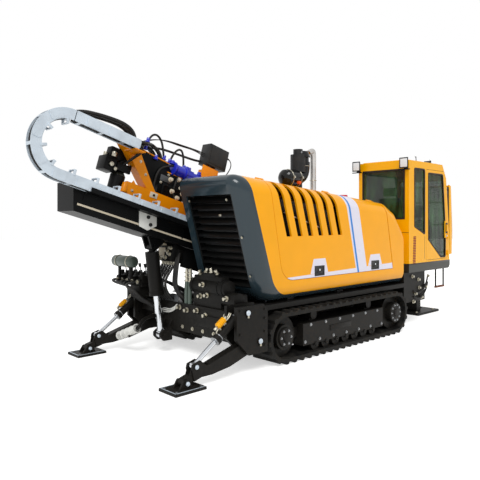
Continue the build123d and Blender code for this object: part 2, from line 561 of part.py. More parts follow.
# Carriage with its gearbox, motors and spindle
LIP = 20.0
LIP_GAP = 3.0
POST_RIGHT_Y = 308.0
POST_WIDTH = 56.0            # at its foot, beside the gearbox
POST_HEAD_WIDTH = 150.0
POST_WAIST = 520.0           # the head starts at this height
POST_REAR = 70.0             # whole post further to the rear
WEB_START = 610.0            # upright web along the carriage's right side, with a flange on top
WEB_TOP = 560.0
WEB_PLATE = 14.0
GUARD = (1790.0, 1960.0)
GUARD_TOP = 1150.0
BEARING_GAP = 6.0
MOTOR_R = 74.0
MOTOR_LENGTH = 470.0
gear_rear, gear_front, gear_right, gear_left, gear_top = GEARBOX
rail_out = RAIL_SPREAD / 2 + RAIL_WIDTH / 2
with BuildPart() as carriage_frame:
    block(CARRIAGE_REAR, CARRIAGE_FRONT, STRING_Y - rail_out - LIP, STRING_Y + rail_out + LIP,
          CARRIAGE_FLOOR, CARRIAGE_TOP, boom_side)
    for y0 in (STRING_Y - rail_out - LIP, STRING_Y + rail_out + LIP_GAP):
        block(CARRIAGE_REAR, CARRIAGE_FRONT, y0, y0 + LIP - LIP_GAP, BOOM_HEIGHT + 8, CARRIAGE_FLOOR, boom_side)
    post = [(1150, CARRIAGE_TOP), (1240, CARRIAGE_TOP), (1030, 630), (690, 1040), (440, 1040), (880, 630)]
    side_plate([(s - POST_REAR, n) for s, n in post], POST_RIGHT_Y, POST_RIGHT_Y + POST_WIDTH, boom_side)
    head = [(1009, POST_WAIST), (1130, POST_WAIST), (1030, 630), (690, 1040), (440, 1040), (880, 630)]
    side_plate([(s - POST_REAR, n) for s, n in head], POST_RIGHT_Y, POST_RIGHT_Y + POST_HEAD_WIDTH, boom_side)
    block(CHAIN_END - 50, CHAIN_END + 90, CHAIN_RIGHT_Y, POST_RIGHT_Y, CHAIN_HIGH_N - CHAIN_BAND / 2 - 12,
          CHAIN_HIGH_N - CHAIN_BAND / 2 - SEAT_GAP, boom_side)
    block(WEB_START, CARRIAGE_FRONT, POST_RIGHT_Y, POST_RIGHT_Y + WEB_PLATE, CARRIAGE_TOP, WEB_TOP, boom_side)
    block(WEB_START, CARRIAGE_FRONT, POST_RIGHT_Y, POST_RIGHT_Y + POST_WIDTH, WEB_TOP - WEB_PLATE, WEB_TOP, boom_side)
    block(GUARD[0], GUARD[1], gear_right + 10, gear_left - 40, CARRIAGE_TOP, GUARD_TOP, boom_side)
    with BuildSketch(boom_cross(GUARD[0] - 10)) as bore:
        with Locations((STRING_Y, STRING_N)):
            Circle(SPINDLE_R + BEARING_GAP)
    extrude(bore.sketch, amount=GUARD[1] - GUARD[0] + 20, mode=Mode.SUBTRACT)
keep(carriage_frame, "carriage_frame")

with BuildPart() as gearbox:
    side_plate([(gear_rear, CARRIAGE_TOP), (gear_front, CARRIAGE_TOP), (gear_front, gear_top - 60),
                (gear_front - 60, gear_top), (gear_rear + 90, gear_top), (gear_rear, gear_top - 90)],
               gear_right, gear_left, boom_side)
keep(gearbox, "gearbox")

with BuildPart() as rotation_motors:
    rest = gear_top + MOTOR_R + SEAT_GAP
    for y in (STRING_Y - MOTOR_R - EAR_GAP, STRING_Y + MOTOR_R + EAR_GAP):
        round_bar(on_boom(gear_rear + 170, y, rest), on_boom(gear_rear + 170 + MOTOR_LENGTH, y, rest), MOTOR_R - 18)
        round_bar(on_boom(gear_rear + 200, y, rest), on_boom(gear_rear + 350, y, rest), MOTOR_R)
        block(gear_rear + 360, gear_rear + 480, y - 50, y + 50, rest - 50, rest + 56, boom_side)
keep(rotation_motors, "rotation_motors")

FEED_S = 560.0
FEED_R = 92.0
FEED_TOP = 800.0
with BuildPart() as feed_motor:
    shoulder = on_boom(FEED_S, STRING_Y + 20, CARRIAGE_TOP + 220)
    round_bar(on_boom(FEED_S, STRING_Y + 20, CARRIAGE_TOP), shoulder, FEED_R)
    round_bar(shoulder, on_boom(FEED_S, STRING_Y + 20, FEED_TOP), FEED_R - 28)
keep(feed_motor, "feed_motor")

with BuildPart() as spindle:
    neck = on_boom(SPINDLE_END - 120, STRING_Y, STRING_N)
    round_bar(on_boom(gear_front + SEAT_GAP, STRING_Y, STRING_N), neck, SPINDLE_R)
    round_bar(neck, on_boom(SPINDLE_END, STRING_Y, STRING_N), STRING_R)
keep(spindle, "spindle")

# Vises at the front of the beam
VISE_BORE_R = 62.0
JAW_R = 68.0
with BuildPart() as vise_fixed:
    block(VISE_SPLIT, VISE_FRONT, STRING_Y - 200, STRING_Y + 200, BOOM_HEIGHT, 960, boom_side)
    for y0, y1 in ((STRING_Y - 330, STRING_Y - 200), (STRING_Y + 200, STRING_Y + 330)):
        s = (VISE_SPLIT + VISE_FRONT) / 2
        round_bar(on_boom(s, y0, STRING_N), on_boom(s, y1, STRING_N), JAW_R)
    round_bar(on_boom(VISE_SPLIT - 20, STRING_Y, STRING_N), on_boom(VISE_FRONT + 20, STRING_Y, STRING_N), VISE_BORE_R,
              mode=Mode.SUBTRACT)
keep(vise_fixed, "vise_fixed")

with BuildPart() as vise_bearing:
    round_bar(on_boom(VISE_REAR, STRING_Y, STRING_N), on_boom(VISE_SPLIT, STRING_Y, STRING_N), VISE_SPIGOT_R)
    round_bar(on_boom(VISE_REAR - 20, STRING_Y, STRING_N), on_boom(VISE_SPLIT + 20, STRING_Y, STRING_N), VISE_BORE_R,
              mode=Mode.SUBTRACT)
keep(vise_bearing, "vise_bearing")

with BuildPart() as vise_turning:
    block(VISE_REAR + 20, VISE_SPLIT - 8, STRING_Y - 200, STRING_Y + 200, STRING_N - 150, STRING_N + 150, boom_side)
    for y0, y1 in ((STRING_Y - 310, STRING_Y - 200), (STRING_Y + 200, STRING_Y + 310)):
        s = (VISE_REAR + VISE_SPLIT) / 2
        round_bar(on_boom(s, y0, STRING_N), on_boom(s, y1, STRING_N), JAW_R)
    round_bar(on_boom(VISE_REAR, STRING_Y, STRING_N), on_boom(VISE_SPLIT, STRING_Y, STRING_N),
              VISE_SPIGOT_R + RUNNING_GAP, mode=Mode.SUBTRACT)
keep(vise_turning, "vise_turning")

# Lift cylinder under the beam
lift_top_point = on_boom(LIFT_TOP[0], 0, LIFT_TOP[1])
LIFT_HEAD = (lift_top_point.X, lift_top_point.Z)
keep(make_barrel(LIFT_HEAD, LIFT_BASE, BOOM_Y, LIFT_BARREL_LENGTH, LIFT_BARREL_R, LIFT_ROD_R + RUNNING_GAP,
                 LIFT_PIN_R, LIFT_EAR_HALF), "lift_barrel")
keep(make_rod(LIFT_HEAD, LIFT_BASE, BOOM_Y, LIFT_BARREL_LENGTH - 112, LIFT_ROD_R, 52, LIFT_EYE_HALF), "lift_rod")

# Hood
HOOD_TOP_SLOPE = 0.0872
HOOD_REAR_TOP_X = -1985.0
HOOD_CORNER_R = 380.0
HOOD_SEAM_R = 300.0
HOOD_SKIRT = 90.0
SEAM_TOP_X = -1775.0
SEAM_BOTTOM_X = -1318.0


def hood_top(x):
    return 2215.0 - HOOD_TOP_SLOPE * (x + 1770.0)


HOOD_REAR_BOTTOM_X = HOOD_REAR_TOP_X + HOOD_LEAN * (hood_top(HOOD_REAR_TOP_X) - DECK_TOP)
HOOD_OUTLINE = [(HOOD_REAR_TOP_X, hood_top(HOOD_REAR_TOP_X)), (HOOD_REAR_BOTTOM_X, DECK_TOP),
                (HOOD_FRONT_X, DECK_TOP), (HOOD_FRONT_X, 1640), (1440, 1830), (1180, hood_top(1180))]


def hood_solid(inset):
    """The hood's outer form, or with an inset the space inside it."""
    with BuildPart() as form:
        with BuildSketch(rig_side(HOOD_LEFT_Y - inset)) as outline:
            with BuildLine():
                Polyline(*HOOD_OUTLINE, close=True)
            make_face()
            corners = outline.vertices()
            fillet(corners.sort_by_distance((HOOD_REAR_BOTTOM_X, DECK_TOP, 0))[0], HOOD_CORNER_R)
            fillet(outline.vertices().sort_by_distance((HOOD_REAR_TOP_X, hood_top(HOOD_REAR_TOP_X), 0))[0], 110)
            if inset:
                offset(amount=-inset)
        extrude(outline.sketch, amount=HOOD_LEFT_Y - HOOD_RIGHT_Y - 2 * inset)
        right_face = form.faces().sort_by(Axis.Y)[0]
        crown = [edge for edge in right_face.edges() if edge.center().Z > 1700]
        fillet(crown, HOOD_CROWN - inset)
    return form.part


hood_outer = hood_solid(0)
hood_inner = hood_solid(HOOD_WALL)
SEAM = [(SEAM_TOP_X - 60, 2415), (SEAM_BOTTOM_X, DECK_TOP + HOOD_SKIRT), (HOOD_FRONT_X + 50, DECK_TOP + HOOD_SKIRT),
        (HOOD_FRONT_X + 50, 2415)]
DOOR_BOTTOM = 966.0
DOOR_CORNER_R = 230.0
DOOR_TOP_Y = -740.0
DOOR = [(-1478, 2415), (-1202, DOOR_BOTTOM), (1293, DOOR_BOTTOM), (992, 2415)]
DOOR_FRONT_GAP = 17.0        # the front edge leans back, so it nears the panel as the door swings up


def seam_region(points, corner_r, grow, y0, y1, mode):
    """Everything inside a seam line seen from the side, with its lower rear corner rounded."""
    with BuildSketch(rig_side(y1)) as outline:
        with BuildLine():
            Polyline(*points, close=True)
        make_face()
        fillet(outline.vertices().sort_by_distance((*points[1], 0))[0], corner_r)
        if grow:
            offset(amount=grow)
    extrude(outline.sketch, amount=y1 - y0, mode=mode)


with BuildPart() as hood_surround:
    add(hood_outer)
    add(hood_inner, mode=Mode.SUBTRACT)
    seam_region(SEAM, HOOD_SEAM_R, 1.0, HOOD_RIGHT_Y - 50, HOOD_LEFT_Y + 50, Mode.SUBTRACT)
    side_plate([(-2300, 1990), (-1560, 1990), (-1300, 900), (-2300, 900)], HOOD_RIGHT_Y + 150, HOOD_LEFT_Y - 90,
               mode=Mode.SUBTRACT)
    block(-1480, HOOD_FRONT_X - HOOD_WALL, HOOD_RIGHT_Y + HOOD_WALL, HOOD_LEFT_Y - HOOD_WALL, DECK_TOP - 5,
          DECK_TOP + HOOD_WALL + 5, mode=Mode.SUBTRACT)
keep(hood_surround, "hood_surround")

SLOT_COUNT = 6
SLOT_FIRST_X = -1085.0
SLOT_PITCH = 206.0
SLOT_WIDTH = 95.0
SLOT_BOTTOM = 1500.0
SLOT_LEAN = 0.30
HINGE_PLACES = (-1350.0, -60.0, 1015.0)
HINGE_LEAF = 8.0
HOOD_HINGE_R = 16.0
HOOD_PIN_R = 8.0
DOOR_HINGE_Y = DOOR_TOP_Y - DOOR_GAP / 2


def hood_cross(x):
    """Plane across the hood's top: first axis to the left, second square to the top, facing forward."""
    return Plane(origin=(x, 0, hood_top(x)), x_dir=(0, 1, 0), z_dir=(1, 0, -HOOD_TOP_SLOPE))


def hood_leaf(x, length, reach, pin_r, mode=Mode.ADD):
    """Hinge leaf that reaches to one side of the door's edge, or with no reach its pin or bore."""
    with BuildSketch(hood_cross(x)) as outline:
        with Locations((DOOR_HINGE_Y, HOOD_HINGE_R)):
            Circle(pin_r)
        if reach:
            with Locations((DOOR_HINGE_Y + reach / 2, HINGE_LEAF / 2)):
                Rectangle(abs(reach), HINGE_LEAF)
    extrude(outline.sketch, amount=length, mode=mode)


with BuildPart() as hood_panel:
    add(hood_outer)
    add(hood_inner, mode=Mode.SUBTRACT)
    seam_region(SEAM, HOOD_SEAM_R, 0.0, HOOD_RIGHT_Y - 50, HOOD_LEFT_Y + 50, Mode.INTERSECT)
    seam_region(DOOR, DOOR_CORNER_R, 0.0, HOOD_RIGHT_Y - 50, DOOR_TOP_Y, Mode.SUBTRACT)
    for x in HINGE_PLACES:
        hood_leaf(x - 60, 40, 70, HOOD_HINGE_R)
        hood_leaf(x + 20, 40, 70, HOOD_HINGE_R)
        hood_leaf(x - 60, 120, 0, HOOD_PIN_R)
keep(hood_panel, "hood_panel")

with BuildPart() as hood_door:
    add(hood_outer)
    add(hood_inner, mode=Mode.SUBTRACT)
    seam_region(DOOR, DOOR_CORNER_R, -DOOR_GAP, HOOD_RIGHT_Y - 50, DOOR_TOP_Y - DOOR_GAP, Mode.INTERSECT)
    strip(DOOR[2], DOOR[3], 2 * DOOR_FRONT_GAP, HOOD_RIGHT_Y - 50, DOOR_TOP_Y, mode=Mode.SUBTRACT)
    for index in range(SLOT_COUNT):
        x = SLOT_FIRST_X + index * SLOT_PITCH
        lean = SLOT_LEAN * (2300 - SLOT_BOTTOM)
        side_plate([(x - SLOT_WIDTH / 2, SLOT_BOTTOM), (x + SLOT_WIDTH / 2, SLOT_BOTTOM),
                    (x + SLOT_WIDTH / 2 - lean, 2300), (x - SLOT_WIDTH / 2 - lean, 2300)],
                   HOOD_RIGHT_Y - 50, HOOD_RIGHT_Y + 0.8 * HOOD_CROWN, mode=Mode.SUBTRACT)
    for x in HINGE_PLACES:
        hood_leaf(x - 19, 38, -70, HOOD_HINGE_R)
        hood_leaf(x - 20, 40, 0, HOOD_PIN_R + RUNNING_GAP, mode=Mode.SUBTRACT)
keep(hood_door, "hood_door")

# Radiator grille: a frame with sloping blades, leaning with the hood's rear face
LOUVRE_COUNT = 13
GRILLE_BOTTOM = 905.0
GRILLE_TOP = 1985.0
GRILLE_RIGHT_Y = HOOD_RIGHT_Y + 150
GRILLE_LEFT_Y = HOOD_LEFT_Y - 90


def hood_rear(z):
    """The hood's rear face at a height, in x."""
    return HOOD_REAR_TOP_X + HOOD_LEAN * (hood_top(HOOD_REAR_TOP_X) - z)


with BuildPart() as radiator_grille:
    for y0 in (GRILLE_RIGHT_Y + SEAT_GAP, GRILLE_LEFT_Y - 30 - SEAT_GAP):
        side_plate([(hood_rear(GRILLE_BOTTOM) + 25, GRILLE_BOTTOM + SEAT_GAP),
                    (hood_rear(GRILLE_BOTTOM) + 85, GRILLE_BOTTOM + SEAT_GAP),
                    (hood_rear(GRILLE_TOP) + 85, GRILLE_TOP - SEAT_GAP),
                    (hood_rear(GRILLE_TOP) + 25, GRILLE_TOP - SEAT_GAP)], y0, y0 + 30)
    for index in range(LOUVRE_COUNT):
        z = GRILLE_BOTTOM + (GRILLE_TOP - GRILLE_BOTTOM) * (index + 0.5) / LOUVRE_COUNT
        x = hood_rear(z)
        side_plate([(x + 32, z - 30), (x + 40, z - 34), (x + 78, z + 26), (x + 70, z + 30)],
                   GRILLE_RIGHT_Y + 25, GRILLE_LEFT_Y - 25)
keep(radiator_grille, "radiator_grille")

RADIATOR_FOOT_X = -1262.0
with BuildPart() as radiator:
    side_plate([(hood_rear(940) + 120, 940), (hood_rear(940) + 260, 940), (hood_rear(1900) + 260, 1900),
                (hood_rear(1900) + 120, 1900)], GRILLE_RIGHT_Y + 20, GRILLE_LEFT_Y - 20)
    block(-1420, RADIATOR_FOOT_X, GRILLE_RIGHT_Y + 60, GRILLE_LEFT_Y - 60, 940, 960)
    block(RADIATOR_FOOT_X - 28, RADIATOR_FOOT_X, GRILLE_RIGHT_Y + 60, GRILLE_LEFT_Y - 60, DECK_TOP, 960)
keep(radiator, "radiator")

with BuildPart() as engine_block:
    block(-980, 260, -800, -240, DECK_TOP + 60, 1560)
    for x in (-880, 160):
        block(x - 60, x + 60, -840, -200, DECK_TOP, DECK_TOP + 60)
keep(engine_block, "engine_block")

# Air cleaner and exhaust on the hood's top
CLEANER_X = 75.0
STACK_X = 426.0
STACK_Y = -150.0
with BuildPart() as air_cleaner:
    round_bar((CLEANER_X, STACK_Y, hood_top(CLEANER_X) - 40), (CLEANER_X, STACK_Y, 2400), 62)
    add(hood_outer, mode=Mode.SUBTRACT)
    round_bar((CLEANER_X, STACK_Y, 2400), (CLEANER_X, STACK_Y, 2660), 112)
    round_bar((CLEANER_X, STACK_Y, 2660), (CLEANER_X, STACK_Y, 2740), 70)
keep(air_cleaner, "air_cleaner")
with BuildPart() as exhaust_stack:
    round_bar((STACK_X, STACK_Y, hood_top(STACK_X) - 40), (STACK_X, STACK_Y, 2700), 45)
    add(hood_outer, mode=Mode.SUBTRACT)
keep(exhaust_stack, "exhaust_stack")

# Cab: hollow shell on its base, door on the right, panes of glass, seat and console
GLASS_GAP = 0.3
cab_outline = [(CAB_REAR_X, CAB_SILL_Z), (CAB_FRONT_X, CAB_SILL_Z), (3150, 1500), (3040, 2420), (2900, CAB_ROOF_Z),
               (CAB_REAR_X, CAB_ROOF_Z)]
CAB_CEILING = CAB_ROOF_Z - CAB_WALL - 15
CAB_INNER = [(CAB_REAR_X + CAB_WALL, CAB_SILL_Z), (CAB_FRONT_X - CAB_WALL, CAB_SILL_Z), (3150 - CAB_WALL, 1500),
             (3040 - CAB_WALL, 2400), (2885, CAB_CEILING), (CAB_REAR_X + CAB_WALL, CAB_CEILING)]
QUARTER = [(1925, 1588), (2285, 1453), (2285, 2540), (1925, 2540)]
DOOR_OPENING = [(2335, CAB_SILL_Z + 30), (3078, CAB_SILL_Z + 30), (3078, 1500), (2985, 2540), (2335, 2540)]
DOOR_WINDOW = [(2385, 1373), (2830, 1055), (3020, 1055), (3030, 1490), (2925, 2490), (2385, 2490)]
LEFT_WINDOW = [(1925, 1500), (2285, 1400), (2830, 1060), (3020, 1060), (3060, 1490), (2960, 2490), (1925, 2490)]
REAR_WINDOW = (-930.0, -140.0, 1710.0, 2520.0)
SCREEN = (-930.0, -140.0, 1080.0, 2380.0)


def cab_side_cut(points, y0, y1, grow=0.0):
    with BuildSketch(rig_side(y1)) as outline:
        with BuildLine():
            Polyline(*points, close=True)
        make_face()
        if grow:
            offset(amount=grow, kind=Kind.INTERSECTION)
        fillet(outline.vertices(), 35)
    extrude(outline.sketch, amount=y1 - y0, mode=Mode.SUBTRACT)


CAB_HINGE = (3075.0, CAB_RIGHT_Y - 13)
CAB_HINGE_R = 13.0
CAB_PIN_R = 7.0
CAB_HINGE_PLACES = (1130.0, 1420.0)


def cab_leaf(z, length, reach, pin_r, mode=Mode.ADD):
    """Upright hinge leaf to one side of the door's front edge, or with no reach its pin or bore."""
    with BuildSketch(Plane.XY.offset(z)) as outline:
        with Locations(CAB_HINGE):
            Circle(pin_r)
        if reach:
            with Locations((CAB_HINGE[0] + reach / 2, CAB_RIGHT_Y - 4)):
                Rectangle(abs(reach), 8)
    extrude(outline.sketch, amount=length, mode=mode)


with BuildPart() as cab_shell:
    side_plate(cab_outline, CAB_RIGHT_Y, CAB_LEFT_Y)
    side_plate(CAB_INNER, CAB_RIGHT_Y + CAB_WALL, CAB_LEFT_Y - CAB_WALL, mode=Mode.SUBTRACT)
    cab_side_cut(QUARTER, CAB_RIGHT_Y - 10, CAB_RIGHT_Y + CAB_WALL + 10)
    side_plate(DOOR_OPENING, CAB_RIGHT_Y - 10, CAB_RIGHT_Y + CAB_WALL + 10, mode=Mode.SUBTRACT)
    cab_side_cut(LEFT_WINDOW, CAB_LEFT_Y - CAB_WALL - 10, CAB_LEFT_Y + 10)
    y0, y1, z0, z1 = REAR_WINDOW
    block(CAB_REAR_X - 10, CAB_REAR_X + CAB_WALL + 10, y0, y1, z0, z1, mode=Mode.SUBTRACT)
    y0, y1, z0, z1 = SCREEN
    block(2990, CAB_FRONT_X + 20, y0, y1, z0, z1, mode=Mode.SUBTRACT)
    for z in CAB_HINGE_PLACES:
        cab_leaf(z - 45, 30, 45, CAB_HINGE_R)
        cab_leaf(z + 15, 30, 45, CAB_HINGE_R)
        cab_leaf(z - 45, 90, 0, CAB_PIN_R)
keep(cab_shell, "cab_shell")

with BuildPart() as cab_base:
    nose = CAB_FRONT_X + 10
    side_plate([(CAB_REAR_X, CAB_FLOOR_Z), (nose - 70, CAB_FLOOR_Z), (nose - 25, CAB_FLOOR_Z + 16),
                (nose, CAB_FLOOR_Z + 60), (nose, CAB_SILL_Z), (CAB_REAR_X, CAB_SILL_Z)], CAB_RIGHT_Y, CAB_LEFT_Y)
keep(cab_base, "cab_base")

with BuildPart() as cab_door:
    with BuildSketch(rig_side(CAB_RIGHT_Y + CAB_WALL - 5)) as panel:
        with BuildLine():
            Polyline(*DOOR_OPENING, close=True)
        make_face()
        offset(amount=-DOOR_GAP, kind=Kind.INTERSECTION)
    extrude(panel.sketch, amount=CAB_WALL - 5)
    cab_side_cut(DOOR_WINDOW, CAB_RIGHT_Y - 10, CAB_RIGHT_Y + CAB_WALL + 10)
    for z in CAB_HINGE_PLACES:
        cab_leaf(z - 14, 28, -40, CAB_HINGE_R)
        cab_leaf(z - 15, 30, 0, CAB_PIN_R + RUNNING_GAP, mode=Mode.SUBTRACT)
keep(cab_door, "cab_door")


def pane(points, y0):
    """Flat pane that fills a side window's opening."""
    with BuildSketch(rig_side(y0 + GLASS)) as outline:
        with BuildLine():
            Polyline(*points, close=True)
        make_face()
        offset(amount=-GLASS_GAP, kind=Kind.INTERSECTION)
        fillet(outline.vertices(), 35)
    extrude(outline.sketch, amount=GLASS)


with BuildPart() as door_glass:
    pane(DOOR_WINDOW, CAB_RIGHT_Y + 12)
keep(door_glass, "cab_door_glass")

with BuildPart() as cab_glass:
    pane(QUARTER, CAB_RIGHT_Y + 12)
    pane(LEFT_WINDOW, CAB_LEFT_Y - 12 - GLASS)
    y0, y1, z0, z1 = REAR_WINDOW
    block(CAB_REAR_X + 12, CAB_REAR_X + 12 + GLASS, y0 + GLASS_GAP, y1 - GLASS_GAP, z0 + GLASS_GAP, z1 - GLASS_GAP)
    y0, y1, z0, z1 = SCREEN
    lean = (3150 - 3040) / (2420 - 1500)
    top_x = 3150 - (z1 - 1500) * lean - 22
    side_plate([(3145, z0 + GLASS_GAP), (3128, 1500), (top_x, z1 - GLASS_GAP), (top_x - GLASS, z1 - GLASS_GAP),
                (3120, 1500), (3137, z0 + GLASS_GAP)], y0 + GLASS_GAP, y1 - GLASS_GAP)
keep(cab_glass, "cab_glass")

SEAT_X = 2250.0
SEAT_Y = -535.0
with BuildPart() as seat:
    block(SEAT_X - 230, SEAT_X + 250, SEAT_Y - 240, SEAT_Y + 240, 1380, 1500)
    side_plate([(SEAT_X - 230, 1500), (SEAT_X - 110, 1500), (SEAT_X - 190, 2080), (SEAT_X - 290, 2080)],
               SEAT_Y - 230, SEAT_Y + 230)
keep(seat, "seat")
with BuildPart() as console:
    block(SEAT_X - 180, SEAT_X + 180, SEAT_Y - 180, SEAT_Y + 180, CAB_SILL_Z, 1380 - SEAT_GAP)
    for y0 in (SEAT_Y - 350, SEAT_Y + 260):
        block(SEAT_X - 60, SEAT_X + 380, y0, y0 + 90, CAB_SILL_Z, 1640)
    block(2900, 3040, SEAT_Y - 180, SEAT_Y + 180, CAB_SILL_Z, 1700)
keep(console, "console")

STEP_BAR = 20.0
with BuildPart() as cab_step:
    for x0 in (2700.0, 2980.0):
        block(x0, x0 + STEP_BAR, CAB_RIGHT_Y + 20, CAB_RIGHT_Y + 20 + STEP_BAR, 550, CAB_FLOOR_Z)
    block(2700.0, 2980.0 + STEP_BAR, CAB_RIGHT_Y + 20, CAB_RIGHT_Y + 20 + STEP_BAR, 550, 550 + STEP_BAR)
keep(cab_step, "cab_step")

# Anchor base: plate, cross beam, hinge lugs and a mast for each auger
MAST_HALF = 60.0
MAST = (3290.0, 3325.0)
AUGER_MOTOR_R = 85.0
LUG = 25.0
with BuildPart() as anchor_base:
    block(ANCHOR_REAR_X, ANCHOR_FRONT_X, BOOM_Y - ANCHOR_HALF_WIDTH, BOOM_Y + ANCHOR_HALF_WIDTH, 0, ANCHOR_PLATE)
    block(3010, 3150, BOOM_Y - ANCHOR_HALF_WIDTH + 130, BOOM_Y + ANCHOR_HALF_WIDTH - 130, ANCHOR_PLATE, 230)
    for y0 in (BOOM_Y - TONGUE_HALF - EAR_GAP - LUG, BOOM_Y + TONGUE_HALF + EAR_GAP):
        x, z = ANCHOR_HINGE
        side_plate([(x - 45, z - 25), (x - 45, z + 25), (x - 20, z + 45), (3010, z + 38), (3010, ANCHOR_PLATE),
                    (2890, ANCHOR_PLATE)], y0, y0 + LUG)
    cross_bar(ANCHOR_HINGE, HINGE_R, BOOM_Y - TONGUE_HALF - EAR_GAP - LUG - 10,
              BOOM_Y + TONGUE_HALF + EAR_GAP + LUG + 10)
    for y in (BOOM_Y - AUGER_SPREAD / 2, BOOM_Y + AUGER_SPREAD / 2):
        block(MAST[0], MAST[1], y - MAST_HALF, y + MAST_HALF, ANCHOR_PLATE, MAST_TOP)
        block(3150, MAST[0], y - 12, y + 12, ANCHOR_PLATE, 420)
        with BuildSketch(Plane.XY) as bore:
            with Locations((AUGER_X, y)):
                Circle(AUGER_BORE_R)
        extrude(bore.sketch, amount=ANCHOR_PLATE, mode=Mode.SUBTRACT)
keep(anchor_base, "anchor_base")

AUGER_TOP = 640.0
AUGER_TIP = 60.0
for side, y in (("right", BOOM_Y - AUGER_SPREAD / 2), ("left", BOOM_Y + AUGER_SPREAD / 2)):
    with BuildPart() as auger_drive:
        round_bar((AUGER_X, y, AUGER_TOP), (AUGER_X, y, MAST_TOP - 20), AUGER_MOTOR_R)
        block(MAST[1] + SEAT_GAP, AUGER_X, y - MAST_HALF, y + MAST_HALF, AUGER_TOP, AUGER_TOP + 180)
    keep(auger_drive, f"auger_drive_{side}")
    with BuildPart() as auger:
        round_bar((AUGER_X, y, AUGER_TIP), (AUGER_X, y, AUGER_TOP - SEAT_GAP), AUGER_STEM_R)
        flight_height = AUGER_TOP - 120 - AUGER_TIP
        with BuildLine() as flight_line:
            Helix(flight_height / AUGER_TURNS, flight_height, AUGER_STEM_R, center=(AUGER_X, y, AUGER_TIP + 20))
        helix = flight_line.wires()[0]
        with BuildSketch(Plane(origin=helix @ 0, x_dir=(1, 0, 0), z_dir=helix % 0)) as flight:
            with Locations(((AUGER_R - AUGER_STEM_R) / 2 - 3, 0)):
                Rectangle(AUGER_R - AUGER_STEM_R + 6, AUGER_FLIGHT)
        sweep(flight.sketch, path=helix, is_frenet=True)
    keep(auger, f"auger_{side}")

# Valve bank, left fender
VALVE_Y = (640.0, 850.0)
with BuildPart() as valve_bank:
    block(CHASSIS_REAR - 250, CHASSIS_REAR - 100, VALVE_Y[0], VALVE_Y[1], REAR_TOP + SEAT_GAP, 700)
    block(CHASSIS_REAR - 550, CHASSIS_REAR - 200, VALVE_Y[0], VALVE_Y[1], 690, 840)
keep(valve_bank, "valve_bank")

with BuildPart() as left_fender:
    block(-1300, 1300, TRACK_INNER_Y - 15, TRACK_SPREAD / 2 - 10, TRACK_HEIGHT + 22, TRACK_HEIGHT + 34)
    for x in (-1010.0, 560.0):
        block(x - 30, x + 30, TRACK_INNER_Y - 30, TRACK_INNER_Y - 10, CROSS_TOP, TRACK_HEIGHT + 34)
keep(left_fender, "left_fender")

# The origin goes under the middle of the whole machine
whole = Compound(children=[Compound(piece.part.wrapped) for piece in finished.values()]).bounding_box()
SHIFT = Vector(-(whole.min.X + whole.max.X) / 2, -(whole.min.Y + whole.max.Y) / 2, -whole.min.Z)
for name, piece in finished.items():
    placed = piece.part.moved(Location(SHIFT))
    placed.label = name
    export_step(placed, f"parts/{name}.step")
print("shift", SHIFT, "size", whole.size)
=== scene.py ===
"""Finish and small parts for a tracked directional drill with an enclosed cab.

Lengths are in metres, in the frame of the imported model: +X is the drilling direction, +Y the left side, +Z up.
"""

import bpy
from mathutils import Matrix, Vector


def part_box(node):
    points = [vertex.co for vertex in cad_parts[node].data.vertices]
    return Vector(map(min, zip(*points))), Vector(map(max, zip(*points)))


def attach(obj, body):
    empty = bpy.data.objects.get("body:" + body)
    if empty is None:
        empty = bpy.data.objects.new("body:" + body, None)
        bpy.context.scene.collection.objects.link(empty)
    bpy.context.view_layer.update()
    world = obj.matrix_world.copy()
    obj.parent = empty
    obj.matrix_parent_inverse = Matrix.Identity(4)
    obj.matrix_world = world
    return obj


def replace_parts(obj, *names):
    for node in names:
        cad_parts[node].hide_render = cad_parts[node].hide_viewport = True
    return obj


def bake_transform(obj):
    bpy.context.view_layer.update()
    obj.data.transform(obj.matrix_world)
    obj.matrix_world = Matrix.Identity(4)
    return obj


bl_info = {
    "name": "Directional Drill Finish",
    "version": (1, 0, 0),
    "blender": (4, 5, 0),
    "location": "3D Viewport > Sidebar > Drill",
    "description": "Paint, hoses, cab trim and small fittings for a tracked directional drill",
    "category": "Object",
}

import math
import bmesh
import bpy
from bpy.props import FloatProperty, FloatVectorProperty, IntProperty, PointerProperty
from mathutils import Matrix, Vector

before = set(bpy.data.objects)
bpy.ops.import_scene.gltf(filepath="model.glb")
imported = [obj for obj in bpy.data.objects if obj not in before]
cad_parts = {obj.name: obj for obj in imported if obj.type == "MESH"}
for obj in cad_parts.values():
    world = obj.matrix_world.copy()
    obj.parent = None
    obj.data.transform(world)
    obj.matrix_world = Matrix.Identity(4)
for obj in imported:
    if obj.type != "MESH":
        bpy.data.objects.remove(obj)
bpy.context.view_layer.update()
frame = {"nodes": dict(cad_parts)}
NODES = frame["nodes"]

# The tracks' middle on the ground is where the machine's own measurements start
_low, _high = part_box("track_right")
MIDDLE = Vector(((_low.x + _high.x) / 2, _low.y + 1.1, _low.z))
TILT = math.radians(16.2)
BOOM_CORNER = Vector((-3.27, 0.0, 1.8))
UPWARD = Vector((math.sin(TILT), 0.0, math.cos(TILT)))   # square to the beam

# The drag chain's bend, along and square to the beam
CHAIN_S = -0.321
CHAIN_R = 0.333
CHAIN_LOW_N = 0.2993
CHAIN_HIGH_N = 0.9653
ALONG = Vector((math.cos(TILT), 0.0, -math.sin(TILT)))   # forward on the beam

# The stabilisers' pins: forward and up, at the bracket's middle
ARM_PIN = Vector((-1.698, 0.0, 0.351))
BARREL_PIN = Vector((-1.889, 0.0, 0.686))
ROD_PIN = Vector((-2.562, 0.0, 0.214))
FOOT_PIN = Vector((-2.694, 0.0, 0.078))

